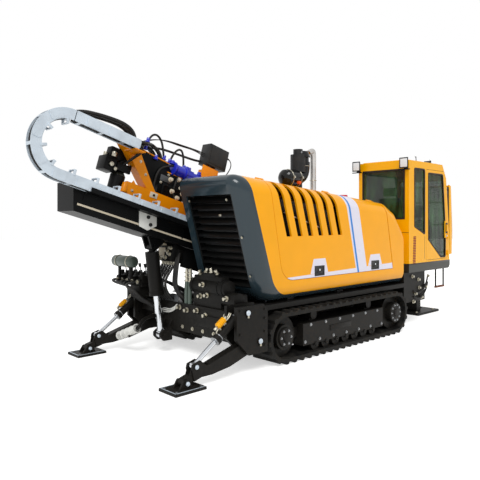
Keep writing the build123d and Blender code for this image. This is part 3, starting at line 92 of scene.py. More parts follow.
# The hood, from the tracks' middle
HOOD_LEAN = 0.2875           # rearward lean of the rear face for each metre of height
HOOD_SLOPE = 0.0872          # fall of the top for each metre forward
HOOD_REAR_X = -1.985
HOOD_REAR_Z = 2.234
SCREEN_X = (-1.40, 0.16)
STRIPE_TOP = 1.028
STRIPE_RISE = 0.0224
LATCHES = (-0.502, 0.793)
STACK_X = 0.426
STACK_Y = -0.15

# The cab: each window's corners forward and up, the rear window's to the left and up
CAB_REAR_X = 1.764
CAB_LEFT_Y = -0.07
QUARTER = [(1.925, 1.588), (2.285, 1.453), (2.285, 2.54), (1.925, 2.54)]
DOOR_EDGE = [(2.335, 1.036), (3.078, 1.036), (3.078, 1.5), (2.985, 2.54), (2.335, 2.54)]
DOOR_WINDOW = [(2.385, 1.373), (2.83, 1.055), (3.02, 1.055), (3.03, 1.49), (2.925, 2.49), (2.385, 2.49)]
LEFT_WINDOW = [(1.925, 1.5), (2.285, 1.4), (2.83, 1.06), (3.02, 1.06), (3.06, 1.49), (2.96, 2.49), (1.925, 2.49)]
REAR_WINDOW = [(-0.93, 1.71), (-0.14, 1.71), (-0.14, 2.52), (-0.93, 2.52)]
LAMP_Y = (-0.965, -0.085)
FRONT_LAMP_Y = (-0.72, -0.35)
SEAT_Y = -0.535
VENT_LEAN = 0.0012

# The rear valve, the track frames and the front augers
VALVE_RIGHT_Y = 0.61
VALVE_SPAN = 0.62            # all of its sections together
WHEEL_X = 1.23
WHEEL_Z = 0.315
ROLLER_PITCH = 0.216
ROLLER_Z = 0.145
AUGER_X = 3.43
FEED_X = 3.26

# Light and camera, as fitted to the photograph
FLOOR_GLOW = 0.55
WORLD_FILL = 0.56
SUN_ENERGY = 1.7
CAMERA_SPOT = (-5.92, -5.24, 1.70)
CAMERA_HEADING = (-0.6874, 0.7263)
CAMERA_LENS = 39.75          # mm on a 36 mm wide sensor
CAMERA_SHIFT = -0.0417       # of the picture's width


def at(x, y, z):
    """A point measured from the tracks' middle on the ground."""
    return MIDDLE + Vector((x, y, z))


def on_boom(s, y, n):
    """A point along, across and square to the drill beam."""
    return at(BOOM_CORNER.x + s * math.cos(TILT) + n * math.sin(TILT), y,
              BOOM_CORNER.z - s * math.sin(TILT) + n * math.cos(TILT))


def along_chain(run, y, out):
    """A point on the drag chain: run is measured from where its bend begins, and is negative on the lower straight."""
    if run < 0:
        return on_boom(CHAIN_S - run, y, CHAIN_LOW_N - out)
    turn = run / CHAIN_R
    reach = CHAIN_R + out
    return on_boom(CHAIN_S - reach * math.sin(turn), y, CHAIN_LOW_N + CHAIN_R - reach * math.cos(turn))


# Materials
def linear(code):
    """The linear colour that a shader takes, from an sRGB hex code or from a colour setting, which is linear."""
    if not isinstance(code, str):
        return (*code, 1.0)
    parts = [int(code[i:i + 2], 16) / 255 for i in (1, 3, 5)]
    return tuple(p / 12.92 if p <= 0.04045 else ((p + 0.055) / 1.055) ** 2.4 for p in parts) + (1.0,)


def add_node(tree, kind, values=None, links=None, **settings):
    """Adds one node with its settings, its sockets' values and its links."""
    made = tree.nodes.new(kind)
    for key, value in settings.items():
        setattr(made, key, value)
    for socket, value in (values or {}).items():
        made.inputs[socket].default_value = value
    for socket, source in (links or {}).items():
        tree.links.new(source, made.inputs[socket])
    return made


def start_material(name, values):
    """A material with its shader and the object's own coordinates."""
    material = bpy.data.materials.new(name)
    material.use_nodes = True
    tree = material.node_tree
    tree.nodes.clear()
    shader = add_node(tree, "ShaderNodeBsdfPrincipled", values)
    add_node(tree, "ShaderNodeOutputMaterial", links={"Surface": shader.outputs["BSDF"]})
    coords = add_node(tree, "ShaderNodeTexCoord").outputs["Object"]
    return material, tree, shader, coords


def blended(tree, factor, first, second):
    """Colour that goes from the first to the second with the factor."""
    mix = add_node(tree, "ShaderNodeMix", {6: first, 7: second}, {0: factor}, data_type="RGBA")
    return mix.outputs[2]


def seen_directly(tree):
    """1 where the camera sees a surface directly, in a reflection or through glass, and 0 where it only lights."""
    path = add_node(tree, "ShaderNodeLightPath")
    direct = add_node(tree, "ShaderNodeMath", operation="MAXIMUM",
                      links={0: path.outputs["Is Camera Ray"], 1: path.outputs["Is Glossy Ray"]})
    return add_node(tree, "ShaderNodeMath", operation="MAXIMUM",
                    links={0: direct.outputs[0], 1: path.outputs["Is Transmission Ray"]}).outputs[0]


def enamel(name, code, rough=0.3, dust=0.25, dust_code="#8A8172", peel=0.06, coat=0.15, shine=0.4):
    """Sprayed two-pack enamel on sheet steel: an even gloss with fine orange peel and road dust low down."""
    material, tree, shader, coords = start_material(name, {
        "Metallic": 0.0, "IOR": 1.5, "Specular IOR Level": shine, "Coat Weight": coat, "Coat Roughness": 0.12})
    # Drifts of shade over a hand's breadth, 250 mm
    drift = add_node(tree, "ShaderNodeTexNoise", {"Scale": 4.0, "Detail": 3.0}, {"Vector": coords})
    shade = add_node(tree, "ShaderNodeMapRange", {1: 0.3, 2: 0.7, 3: 0.0, 4: 0.35}, {0: drift.outputs["Fac"]})
    base = linear(code)
    deep = tuple(c * 0.86 for c in base[:3]) + (1.0,)
    paint = blended(tree, shade.outputs[0], base, deep)
    # Dust settles more the nearer to the ground, in 40 mm patches
    place = add_node(tree, "ShaderNodeSeparateXYZ", links={0: coords})
    low = add_node(tree, "ShaderNodeMapRange", {1: 1.5, 2: 0.1, 3: 0.0, 4: dust}, {0: place.outputs["Z"]})
    patch = add_node(tree, "ShaderNodeTexNoise", {"Scale": 25.0, "Detail": 5.0}, {"Vector": coords})
    amount = add_node(tree, "ShaderNodeMath", links={0: low.outputs[0], 1: patch.outputs["Fac"]},
                      operation="MULTIPLY")
    colour = add_node(tree, "ShaderNodeMix", {7: linear(dust_code)}, {0: amount.outputs[0], 6: paint},
                      data_type="RGBA").outputs[2]
    tree.links.new(colour, shader.inputs["Base Color"])
    gloss = add_node(tree, "ShaderNodeMapRange", {1: 0.0, 2: 0.3, 3: rough, 4: min(rough + 0.35, 0.9)},
                     {0: amount.outputs[0]})
    tree.links.new(gloss.outputs[0], shader.inputs["Roughness"])
    # Orange peel drawn at 12 mm, coarser than the real 2 mm, so that it shows
    waves = add_node(tree, "ShaderNodeTexNoise", {"Scale": 80.0, "Detail": 1.0}, {"Vector": coords})
    bump = add_node(tree, "ShaderNodeBump", {"Strength": peel, "Distance": 0.002}, {"Height": waves.outputs["Fac"]})
    tree.links.new(bump.outputs["Normal"], shader.inputs["Normal"])
    return material


def bare_metal(name, code, rough=0.35, scratch=0.25, stretch=(1.0, 1.0, 12.0), metallic=1.0):
    """Machined or plated steel: bright, with fine tool marks across it."""
    material, tree, shader, coords = start_material(name, {"Metallic": metallic})
    lines = add_node(tree, "ShaderNodeMapping", {"Scale": stretch}, {"Vector": coords})
    marks = add_node(tree, "ShaderNodeTexNoise", {"Scale": 40.0, "Detail": 6.0}, {"Vector": lines.outputs[0]})
    stain = add_node(tree, "ShaderNodeTexNoise", {"Scale": 6.0, "Detail": 4.0}, {"Vector": coords})
    base = linear(code)
    dull = tuple(c * 0.7 for c in base[:3]) + (1.0,)
    spread = add_node(tree, "ShaderNodeMapRange", {1: 0.4, 2: 0.75, 3: 0.0, 4: 0.6}, {0: stain.outputs["Fac"]})
    tree.links.new(blended(tree, spread.outputs[0], base, dull), shader.inputs["Base Color"])
    gloss = add_node(tree, "ShaderNodeMapRange", {1: 0.25, 2: 0.75, 3: rough * 0.7, 4: rough + scratch},
                     {0: marks.outputs["Fac"]})
    tree.links.new(gloss.outputs[0], shader.inputs["Roughness"])
    bump = add_node(tree, "ShaderNodeBump", {"Strength": 0.12, "Distance": 0.001}, {"Height": marks.outputs["Fac"]})
    tree.links.new(bump.outputs["Normal"], shader.inputs["Normal"])
    return material


def moulded(name, code, rough=0.6, grain=350.0, depth=0.25, dust=0.15, dust_code="#7B7468", shine=0.3):
    """Moulded rubber or plastic: a dull skin with a fine pebble grain, greyed by dust."""
    material, tree, shader, coords = start_material(name, {"IOR": 1.5, "Specular IOR Level": shine})
    pebble = add_node(tree, "ShaderNodeTexNoise", {"Scale": grain, "Detail": 2.0}, {"Vector": coords})
    patch = add_node(tree, "ShaderNodeTexNoise", {"Scale": 9.0, "Detail": 5.0}, {"Vector": coords})
    amount = add_node(tree, "ShaderNodeMapRange", {1: 0.35, 2: 0.7, 3: 0.0, 4: dust}, {0: patch.outputs["Fac"]})
    tree.links.new(blended(tree, amount.outputs[0], linear(code), linear(dust_code)), shader.inputs["Base Color"])
    gloss = add_node(tree, "ShaderNodeMapRange", {1: 0.3, 2: 0.7, 3: rough - 0.08, 4: rough + 0.1},
                     {0: patch.outputs["Fac"]})
    tree.links.new(gloss.outputs[0], shader.inputs["Roughness"])
    bump = add_node(tree, "ShaderNodeBump", {"Strength": depth, "Distance": 0.001}, {"Height": pebble.outputs["Fac"]})
    tree.links.new(bump.outputs["Normal"], shader.inputs["Normal"])
    return material


def tinted_glass(name, code, bright):
    """Toughened cab glass with a green tint: clear to look through, with brighter upright streaks painted into its
    colour as painted reflections.
    """
    material, tree, shader, coords = start_material(name, {
        "Roughness": 0.03, "IOR": 1.45, "Alpha": 0.56, "Specular IOR Level": 0.3})
    # Painted reflection: tall streaks lighten the green glass towards the bright colour; the same streaks vary its
    # roughness
    upright = add_node(tree, "ShaderNodeMapping", {"Scale": (3.0, 3.0, 0.8)}, {"Vector": coords})
    film = add_node(tree, "ShaderNodeTexNoise", {"Scale": 2.4, "Detail": 4.0}, {"Vector": upright.outputs[0]})
    tint = add_node(tree, "ShaderNodeMapRange", {1: 0.42, 2: 0.72, 3: 0.0, 4: 0.8}, {0: film.outputs["Fac"]})
    tree.links.new(blended(tree, tint.outputs[0], linear(code), linear(bright)), shader.inputs["Base Color"])
    haze = add_node(tree, "ShaderNodeMapRange", {1: 0.4, 2: 0.8, 3: 0.02, 4: 0.09}, {0: film.outputs["Fac"]})
    tree.links.new(haze.outputs[0], shader.inputs["Roughness"])
    return material


def woven_cloth(name, code):
    """Woven seat cloth: soft, with a 6 mm rib and a pale bloom at a slant."""
    material, tree, shader, coords = start_material(name, {
        "Roughness": 0.92, "Sheen Weight": 0.4, "Sheen Roughness": 0.5})
    rib = add_node(tree, "ShaderNodeTexWave", {"Scale": 52.0, "Distortion": 1.0}, {"Vector": coords},
                   bands_direction="DIAGONAL")
    tree.links.new(blended(tree, rib.outputs["Fac"], linear(code), linear("#2E3034")), shader.inputs["Base Color"])
    bump = add_node(tree, "ShaderNodeBump", {"Strength": 0.4, "Distance": 0.002}, {"Height": rib.outputs["Fac"]})
    tree.links.new(bump.outputs["Normal"], shader.inputs["Normal"])
    return material


def make_materials(colours):
    """Every finish on the machine, by the maker's word for it."""
    return {
        "hood enamel": enamel("hood gloss enamel", colours.hood, rough=0.28, dust=0.08, coat=0.05, shine=0.22),
        "cab enamel": enamel("cab gloss enamel", colours.cab, rough=0.26, dust=0.06, coat=0.05, shine=0.22),
        "surround enamel": enamel("surround gloss enamel", colours.surround, rough=0.2, dust=0.08, coat=0.2,
                                  shine=0.35),
        "frame enamel": enamel("frame satin enamel", colours.frame, rough=0.42, dust=0.07, coat=0.0, shine=0.12),
        "boom enamel": enamel("beam satin enamel", "#090A0B", rough=0.42, dust=0.05, coat=0.0, shine=0.1),
        "carriage enamel": enamel("carriage gloss enamel", colours.carriage, rough=0.3, dust=0.1, coat=0.04,
                                  shine=0.22),
        "motor enamel": enamel("motor gloss enamel", colours.motor, rough=0.28, dust=0.04, coat=0.2),
        "white enamel": enamel("white gloss enamel", "#E9E9E4", rough=0.3, dust=0.12, coat=0.1),
        "cream enamel": enamel("cream primer", "#D9CDB6", rough=0.5, dust=0.15, coat=0.0),
        "grey enamel": enamel("sill grey enamel", "#24251F", rough=0.35, dust=0.15, coat=0.1, shine=0.3),
        "steel": bare_metal("machined steel", "#9A9C9E", rough=0.32),
        "zinc": bare_metal("zinc plated steel", "#CFDAE4", rough=0.4, metallic=0.35, stretch=(6.0, 6.0, 6.0)),
        "chrome": bare_metal("hard chrome", "#D5D8DC", rough=0.08, scratch=0.06),
        "stainless": bare_metal("stainless tube", "#C9C6C2", rough=0.22),
        "fitting": bare_metal("passivated fitting", "#B9B4A4", rough=0.3),
        "aluminium": bare_metal("radiator core", "#5A5C5E", rough=0.5, stretch=(1.0, 1.0, 30.0)),
        "cast iron": bare_metal("cast iron", "#3A3A3A", rough=0.6, metallic=0.6),
        "track rubber": moulded("track rubber", "#090909", rough=0.72, grain=120.0, depth=0.4, dust=0.1, shine=0.2),
        "hose rubber": moulded("hose rubber", "#0B0B0C", rough=0.5, dust=0.08),
        "window rubber": moulded("window rubber", "#1A0D06", rough=0.55, dust=0.05),
        "gloss plastic": moulded("polished black plastic", "#0A0B0D", rough=0.14, dust=0.02, depth=0.03),
        "orange plastic": moulded("moulded orange plastic", "#E0571B", rough=0.4, dust=0.05),
        "heat tint": bare_metal("heat tinted stainless", "#C98A3C", rough=0.3),
        "rusty steel": bare_metal("weathered step steel", "#7A4A38", rough=0.6, metallic=0.3),
        "vent mesh": moulded("painted vent mesh", "#7E1B08", rough=0.6, dust=0.0),
        "black plastic": moulded("moulded black plastic", "#131416", rough=0.45, dust=0.06),
        "grille plastic": enamel("grille satin enamel", "#070808", rough=0.35, dust=0.03, coat=0.0, shine=0.25),
        "red plastic": moulded("moulded red plastic", "#C4122F", rough=0.35, dust=0.0),
        "lamp lens": moulded("lamp lens", "#E9EDF0", rough=0.12, dust=0.0, depth=0.05),
        "stripe white": moulded("white vinyl film", "#E6E4F2", rough=0.35, dust=0.03, depth=0.03),
        "stripe blue": moulded("blue vinyl film", "#3A86D8", rough=0.35, dust=0.03, depth=0.03),
        "glass": tinted_glass("tinted glass with painted reflections", "#12200F", "#4C7A4A"),
        "pipe green": enamel("pipe grey green enamel", "#4C5A52", rough=0.35, dust=0.1, coat=0.1),
        "seat cloth": woven_cloth("woven seat cloth", "#17181B"),
    }


NODE_FINISH = {
    "vise_bearing": "steel", "hood_panel": "hood enamel", "hood_door": "hood enamel",
               "hood_surround": "surround enamel",
    "radiator_grille": "grille plastic", "radiator": "aluminium", "engine_block": "cast iron",
    "cab_shell": "cab enamel", "cab_door": "cab enamel", "cab_base": "grey enamel", "cab_glass": "glass",
    "cab_door_glass": "glass", "console": "black plastic", "cab_step": "frame enamel", "seat": "seat cloth",
    "boom_beam": "boom enamel", "boom_rails": "steel", "chain_tray": "boom enamel", "drag_chain_loop": "zinc",
    "drag_chain_top": "zinc", "carriage_frame": "carriage enamel", "gearbox": "boom enamel",
    "rotation_motors": "motor enamel", "feed_motor": "frame enamel", "spindle": "steel",
    "vise_fixed": "carriage enamel", "vise_turning": "frame enamel", "lift_barrel": "frame enamel",
    "lift_rod": "chrome", "anchor_base": "boom enamel", "air_cleaner": "black plastic",
    "exhaust_stack": "stainless", "chassis_frame": "frame enamel", "chassis_rear": "frame enamel",
    "valve_bank": "frame enamel", "left_fender": "frame enamel",
}
for _side in ("right", "left"):
    for _part in ("track_frame", "stabiliser_arm", "stabiliser_foot", "stabiliser_barrel", "auger_drive"):
        NODE_FINISH[f"{_part}_{_side}"] = "frame enamel"
    NODE_FINISH[f"track_{_side}"] = "track rubber"
    NODE_FINISH[f"stabiliser_rod_{_side}"] = "chrome"
    NODE_FINISH[f"auger_{_side}"] = "carriage enamel"
FINISH = {}


# Shaping tools
def deselect():
    """Leaves edit mode and selects nothing."""
    if bpy.context.object and bpy.context.object.mode != "OBJECT":
        bpy.ops.object.mode_set(mode="OBJECT")
    bpy.ops.object.select_all(action="DESELECT")


def make_active(*objects):
    """Selects only these, with the first one active."""
    deselect()
    for item in objects:
        item.select_set(True)
    bpy.context.view_layer.objects.active = objects[0]


def settle():
    """Puts the active object's place and turn into its mesh."""
    bpy.ops.object.transform_apply(location=True, rotation=True, scale=True)


def block(low, high, turn=0.0, taper=None):
    """Block between two corners, turned about the machine's cross axis; taper narrows its top."""
    deselect()
    low, high = Vector(low), Vector(high)
    bpy.ops.mesh.primitive_cube_add(size=1, location=(low + high) / 2, rotation=(0, turn, 0))
    made = bpy.context.object
    made.scale = high - low
    if taper:
        bpy.ops.object.mode_set(mode="EDIT")
        pick(made, lambda spot, way: way.z > 0.9)
        bpy.ops.transform.resize(value=(taper[0], taper[1], 1.0))
        bpy.ops.object.mode_set(mode="OBJECT")
    settle()
    return made


def boom_block(s0, s1, y0, y1, n0, n1):
    """Block square to the drill beam."""
    middle = on_boom((s0 + s1) / 2, (y0 + y1) / 2, (n0 + n1) / 2)
    half = Vector((s1 - s0, y1 - y0, n1 - n0)) / 2
    return block(middle - half, middle + half, TILT)


def pick(made, test):
    """In edit mode, selects the faces whose middle and normal pass the test."""
    shape = bmesh.from_edit_mesh(made.data)
    for face in shape.faces:
        face.select_set(False)
    for face in shape.faces:
        if test(face.calc_center_median(), face.normal):
            face.select_set(True)
    bmesh.update_edit_mesh(made.data)


def dish(made, test, inset, push):
    """Insets the faces that pass the test, and pushes what is inside the inset in or out."""
    bpy.ops.object.mode_set(mode="EDIT")
    pick(made, test)
    bpy.ops.mesh.inset(thickness=inset)
    bpy.ops.mesh.extrude_region_move(TRANSFORM_OT_translate={"value": push})
    bpy.ops.object.mode_set(mode="OBJECT")


def rod(start, end, radius, sides=20, end_radius=None):
    """Round bar from one point to another, tapered where an end radius is given."""
    deselect()
    start, end = Vector(start), Vector(end)
    run = end - start
    bpy.ops.mesh.primitive_cone_add(vertices=sides, radius1=radius,
                                    radius2=radius if end_radius is None else end_radius,
                                    depth=run.length, location=(start + end) / 2,
                                    rotation=run.to_track_quat("Z", "Y").to_euler())
    settle()
    return bpy.context.object


def ring(centre, way, radius, thick, sides=24):
    """Round ring or clamp about an axis."""
    deselect()
    bpy.ops.mesh.primitive_torus_add(major_radius=radius, minor_radius=thick, major_segments=sides, minor_segments=8,
                                     location=centre, rotation=Vector(way).to_track_quat("Z", "Y").to_euler())
    settle()
    return bpy.context.object


def facing(spot, way, turn=0.0):
    """Place and turn for a copy whose own upright axis shall point along the way."""
    lean = Vector(way).to_track_quat("Z", "Y").to_matrix().to_4x4()
    return Matrix.Translation(spot) @ lean @ Matrix.Rotation(turn, 4, "Z")


def stamp(model, places):
    """Copies of a small model at each place, each with its own mesh; the model itself is used up."""
    copies = []
    for place in places:
        item = model.copy()
        item.data = model.data.copy()
        bpy.context.scene.collection.objects.link(item)
        item.matrix_world = place
        copies.append(item)
    bpy.data.objects.remove(model)
    return copies


def hex_bolt(radius, height):
    """Hexagon head on its washer, standing on the ground plane, to be copied."""
    washer = rod((0, 0, 0), (0, 0, height * 0.25), radius * 1.35, sides=16)
    head = rod((0, 0, height * 0.2), (0, 0, height), radius, sides=6, end_radius=radius * 0.94)
    make_active(washer, head)
    bpy.ops.object.join()
    return bpy.context.object


def pin_end(radius, height):
    """Chamfered end of a pin with a grease nipple in its middle, to be copied."""
    collar = rod((0, 0, 0), (0, 0, height * 0.7), radius)
    chamfer = rod((0, 0, height * 0.7), (0, 0, height), radius, end_radius=radius * 0.85)
    nipple = rod((0, 0, height), (0, 0, height * 1.5), radius * 0.22, sides=8, end_radius=radius * 0.12)
    make_active(collar, chamfer, nipple)
    bpy.ops.object.join()
    return bpy.context.object


def outline_face(corners):
    """Flat face through the corners, left open in edit mode with all selected."""
    deselect()
    middle = sum((Vector(c) for c in corners), Vector()) / len(corners)
    bpy.ops.mesh.primitive_circle_add(vertices=len(corners), radius=0.1, fill_type="NGON", location=middle)
    made = bpy.context.object
    bpy.ops.object.mode_set(mode="EDIT")
    bpy.ops.mesh.select_mode(type="VERT")
    for index, corner in enumerate(corners):
        shape = bmesh.from_edit_mesh(made.data)
        shape.verts.ensure_lookup_table()
        for vert in shape.verts:
            vert.select_set(vert.index == index)
        shape.select_flush_mode()
        here = made.matrix_world @ shape.verts[index].co
        bmesh.update_edit_mesh(made.data)
        bpy.ops.transform.translate(value=Vector(corner) - here)
    bpy.ops.mesh.select_mode(type="FACE")
    bpy.ops.mesh.select_all(action="SELECT")
    return made


def thicken(made, depth):
    """Gives the open face in edit mode its depth, and leaves edit mode."""
    bpy.ops.mesh.extrude_region_move(TRANSFORM_OT_translate={"value": Vector(depth)})
    bpy.ops.mesh.select_all(action="SELECT")
    bpy.ops.mesh.normals_make_consistent(inside=False)
    bpy.ops.object.mode_set(mode="OBJECT")
    settle()
    return made


def plate(corners, depth):
    """Flat plate with straight sides: its corners are given in order, and depth is the vector to its other face."""
    return thicken(outline_face(corners), depth)


def seal(corners, depth, corner_r, width):
    """Flat frame with rounded corners, such as a window's rubber."""
    made = outline_face(corners)
    bpy.ops.mesh.select_mode(type="VERT")
    bpy.ops.mesh.select_all(action="SELECT")
    bpy.ops.mesh.bevel(offset=corner_r, segments=4, affect="VERTICES")
    bpy.ops.mesh.select_mode(type="FACE")
    bpy.ops.mesh.select_all(action="SELECT")
    bpy.ops.mesh.inset(thickness=width)
    bpy.ops.mesh.delete(type="FACE")
    bpy.ops.mesh.select_all(action="SELECT")
    return thicken(made, depth)


def hose(points, radius, sides=4):
    """Round hose or pipe along a smooth line through the neighbourhood of the points."""
    deselect()
    bpy.ops.curve.primitive_nurbs_path_add(location=(0, 0, 0))
    made = bpy.context.object
    curve = made.data
    curve.splines.clear()
    spline = curve.splines.new("NURBS")
    spline.points.add(len(points) - 1)
    for point, spot in zip(spline.points, points):
        point.co = (*spot, 1.0)
    spline.order_u = min(4, len(points))
    spline.use_endpoint_u = True
    spline.resolution_u = 10
    curve.bevel_depth = radius
    curve.bevel_resolution = sides
    curve.use_fill_caps = True
    bpy.ops.object.convert(target="MESH")
    return bpy.context.object


def finish(name, parts, material, body="chassis", bevel=0.0, smooth=35.0):
    """Joins the parts into one piece, rounds its edges, gives it its finish and lets it ride."""
    make_active(*parts)
    if len(parts) > 1:
        bpy.ops.object.join()
    piece = bpy.context.object
    piece.name = name
    piece.data.name = name
    settle()
    if bevel:
        rounded = piece.modifiers.new("edge", "BEVEL")
        rounded.width = bevel
        rounded.segments = 2
        rounded.limit_method = "ANGLE"
        rounded.angle_limit = math.radians(40)
        rounded.use_clamp_overlap = True
        bpy.ops.object.modifier_apply(modifier="edge")
    bpy.ops.object.shade_smooth_by_angle(angle=math.radians(smooth))
    piece.data.materials.clear()
    piece.data.materials.append(FINISH[material])
    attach(piece, body)
    return piece


def bolt_row(name, places, radius, height, material, body="chassis", bevel=0.0):
    """One piece made of hexagon heads, one at each place."""
    return finish(name, stamp(hex_bolt(radius, height), places), material, body, bevel)


def borrow(node):
    """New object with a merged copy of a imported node's mesh."""
    made = NODES[node].copy()
    made.data = NODES[node].data.copy()
    for key in list(made.keys()):
        if key.startswith("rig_"):
            del made[key]
    made.parent = None
    bpy.context.scene.collection.objects.link(made)
    make_active(made)
    bpy.ops.object.mode_set(mode="EDIT")
    bpy.ops.mesh.select_mode(type="FACE")
    bpy.ops.mesh.select_all(action="SELECT")
    bpy.ops.mesh.remove_doubles(threshold=0.0001)
    bpy.ops.object.mode_set(mode="OBJECT")
    return made


def skin(name, node, cuts, test, lift, material, body="chassis"):
    """Thin film that follows a panel: a copy of the panel's face between cutting planes, lifted off it."""
    film = borrow(node)
    bpy.ops.object.mode_set(mode="EDIT")
    pick(film, lambda spot, way: not test(spot, way))
    bpy.ops.mesh.delete(type="FACE")
    for point, normal in cuts:
        bpy.ops.mesh.select_all(action="SELECT")
        bpy.ops.mesh.bisect(plane_co=point, plane_no=normal, clear_outer=True)
    bpy.ops.mesh.select_all(action="SELECT")
    bpy.ops.transform.shrink_fatten(value=lift)
    bpy.ops.object.mode_set(mode="OBJECT")
    wall = film.modifiers.new("wall", "SOLIDIFY")
    wall.thickness = lift
    wall.offset = -1
    bpy.ops.object.modifier_apply(modifier="wall")
    film.name = name
    film.data.name = name
    bpy.ops.object.shade_smooth_by_angle(angle=math.radians(40))
    film.data.materials.clear()
    film.data.materials.append(FINISH[material])
    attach(film, body)
    return film


def colour_setting(name, code):
    return FloatVectorProperty(name=name, description=f"{name} enamel", subtype="COLOR", default=linear(code)[:3],
                               min=0, max=1)


class DrillColours(bpy.types.PropertyGroup):
    """Colours of the painted groups"""
    hood: colour_setting("Hood", "#FFAE02")
    cab: colour_setting("Cab", "#FFB602")
    surround: colour_setting("Surround", "#24343C")
    frame: colour_setting("Frame", "#0B0B0B")
    carriage: colour_setting("Carriage", "#F09004")
    motor: colour_setting("Motor", "#1B2BC0")


class DrillSizes(bpy.types.PropertyGroup):
    """Sizes of the added hydraulics"""
    hose: FloatProperty(name="Hose", description="Radius of a main hose", unit="LENGTH", default=0.016,
                        min=0.008, max=0.02)
    lever_count: IntProperty(name="Levers", description="Levers on the valve bank", default=5, min=1)


class PaintFrame(bpy.types.Operator):
    """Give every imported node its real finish"""
    bl_idname = "drill.paint_frame"
    bl_label = "Paint the frame"

    def execute(self, context):
        FINISH.update(make_materials(context.scene.drill_colours))
        for name, item in NODES.items():
            item.data.materials.clear()
            item.data.materials.append(FINISH[NODE_FINISH[name]])
        return {"FINISHED"}


class AddHoodStripes(bpy.types.Operator):
    """Add the white and blue film on the hood's side and the two latches in their plates"""
    bl_idname = "drill.hood_stripes"
    bl_label = "Hood stripes"

    def execute(self, context):
        def outside(spot, way):
            return way.y < -0.15 or (way.z > 0.3 and spot.z > MIDDLE.z + 1.9)

        def side_line(x_low, lean, sign):
            """Upright cutting plane through the side at 1 m height, leaning back with height."""
            return at(x_low, -1.0, 1.0), Vector((1.0, 0.0, lean)) * sign

        above = (at(0, -1.0, STRIPE_TOP), Vector((STRIPE_RISE, 0.0, -1.0)))
        below = (at(0, -1.0, STRIPE_TOP), Vector((-STRIPE_RISE, 0.0, 1.0)))
        band = [side_line(0.583, 0.235, 1), side_line(0.317, 0.255, -1)]
        line = [side_line(0.382, 0.236, 1), side_line(0.342, 0.236, -1)]
        crown = (at(0, -0.735, 2.0), Vector((0.0, -1.0, 0.0)))
        skin("stripe_low", "hood_door", [below], outside, 0.0012, "stripe white", "hood_door")
        skin("stripe_upright", "hood_door", [*band, above], outside, 0.0012, "stripe white", "hood_door")
        skin("stripe_blue", "hood_door", line, outside, 0.0024, "stripe blue", "hood_door")
        skin("stripe_crown", "hood_panel", [*band, crown], outside, 0.0012, "stripe white")
        shields, pans, locks = [], [], []
        for x in LATCHES:
            foot = STRIPE_TOP + STRIPE_RISE * x
            shields.append(plate([at(x - 0.18, -1.0, foot), at(x + 0.18, -1.0, foot + 0.006),
                                  at(x + 0.122, -1.0, 1.206), at(x - 0.118, -1.0, 1.204)], (0, -0.0012, 0)))
            pan = block(at(x - 0.1, -1.006, 0.986), at(x + 0.1, -0.999, 1.114))
            dish(pan, lambda spot, way: way.y < -0.9, 0.014, (0, 0.004, 0))
            pans.append(pan)
            pans.append(block(at(x - 0.055, -1.007, 1.02), at(x + 0.055, -1.001, 1.045)))
            locks.append(facing(at(x, -1.004, 1.062), (0, -1, 0)))
        finish("latch_shields", shields, "stripe white", "hood_door")
        finish("latch_pans", pans, "black plastic", "hood_door", bevel=0.002)
        finish("latch_locks", stamp(pin_end(0.013, 0.006), locks), "chrome", "hood_door")
        return {"FINISHED"}


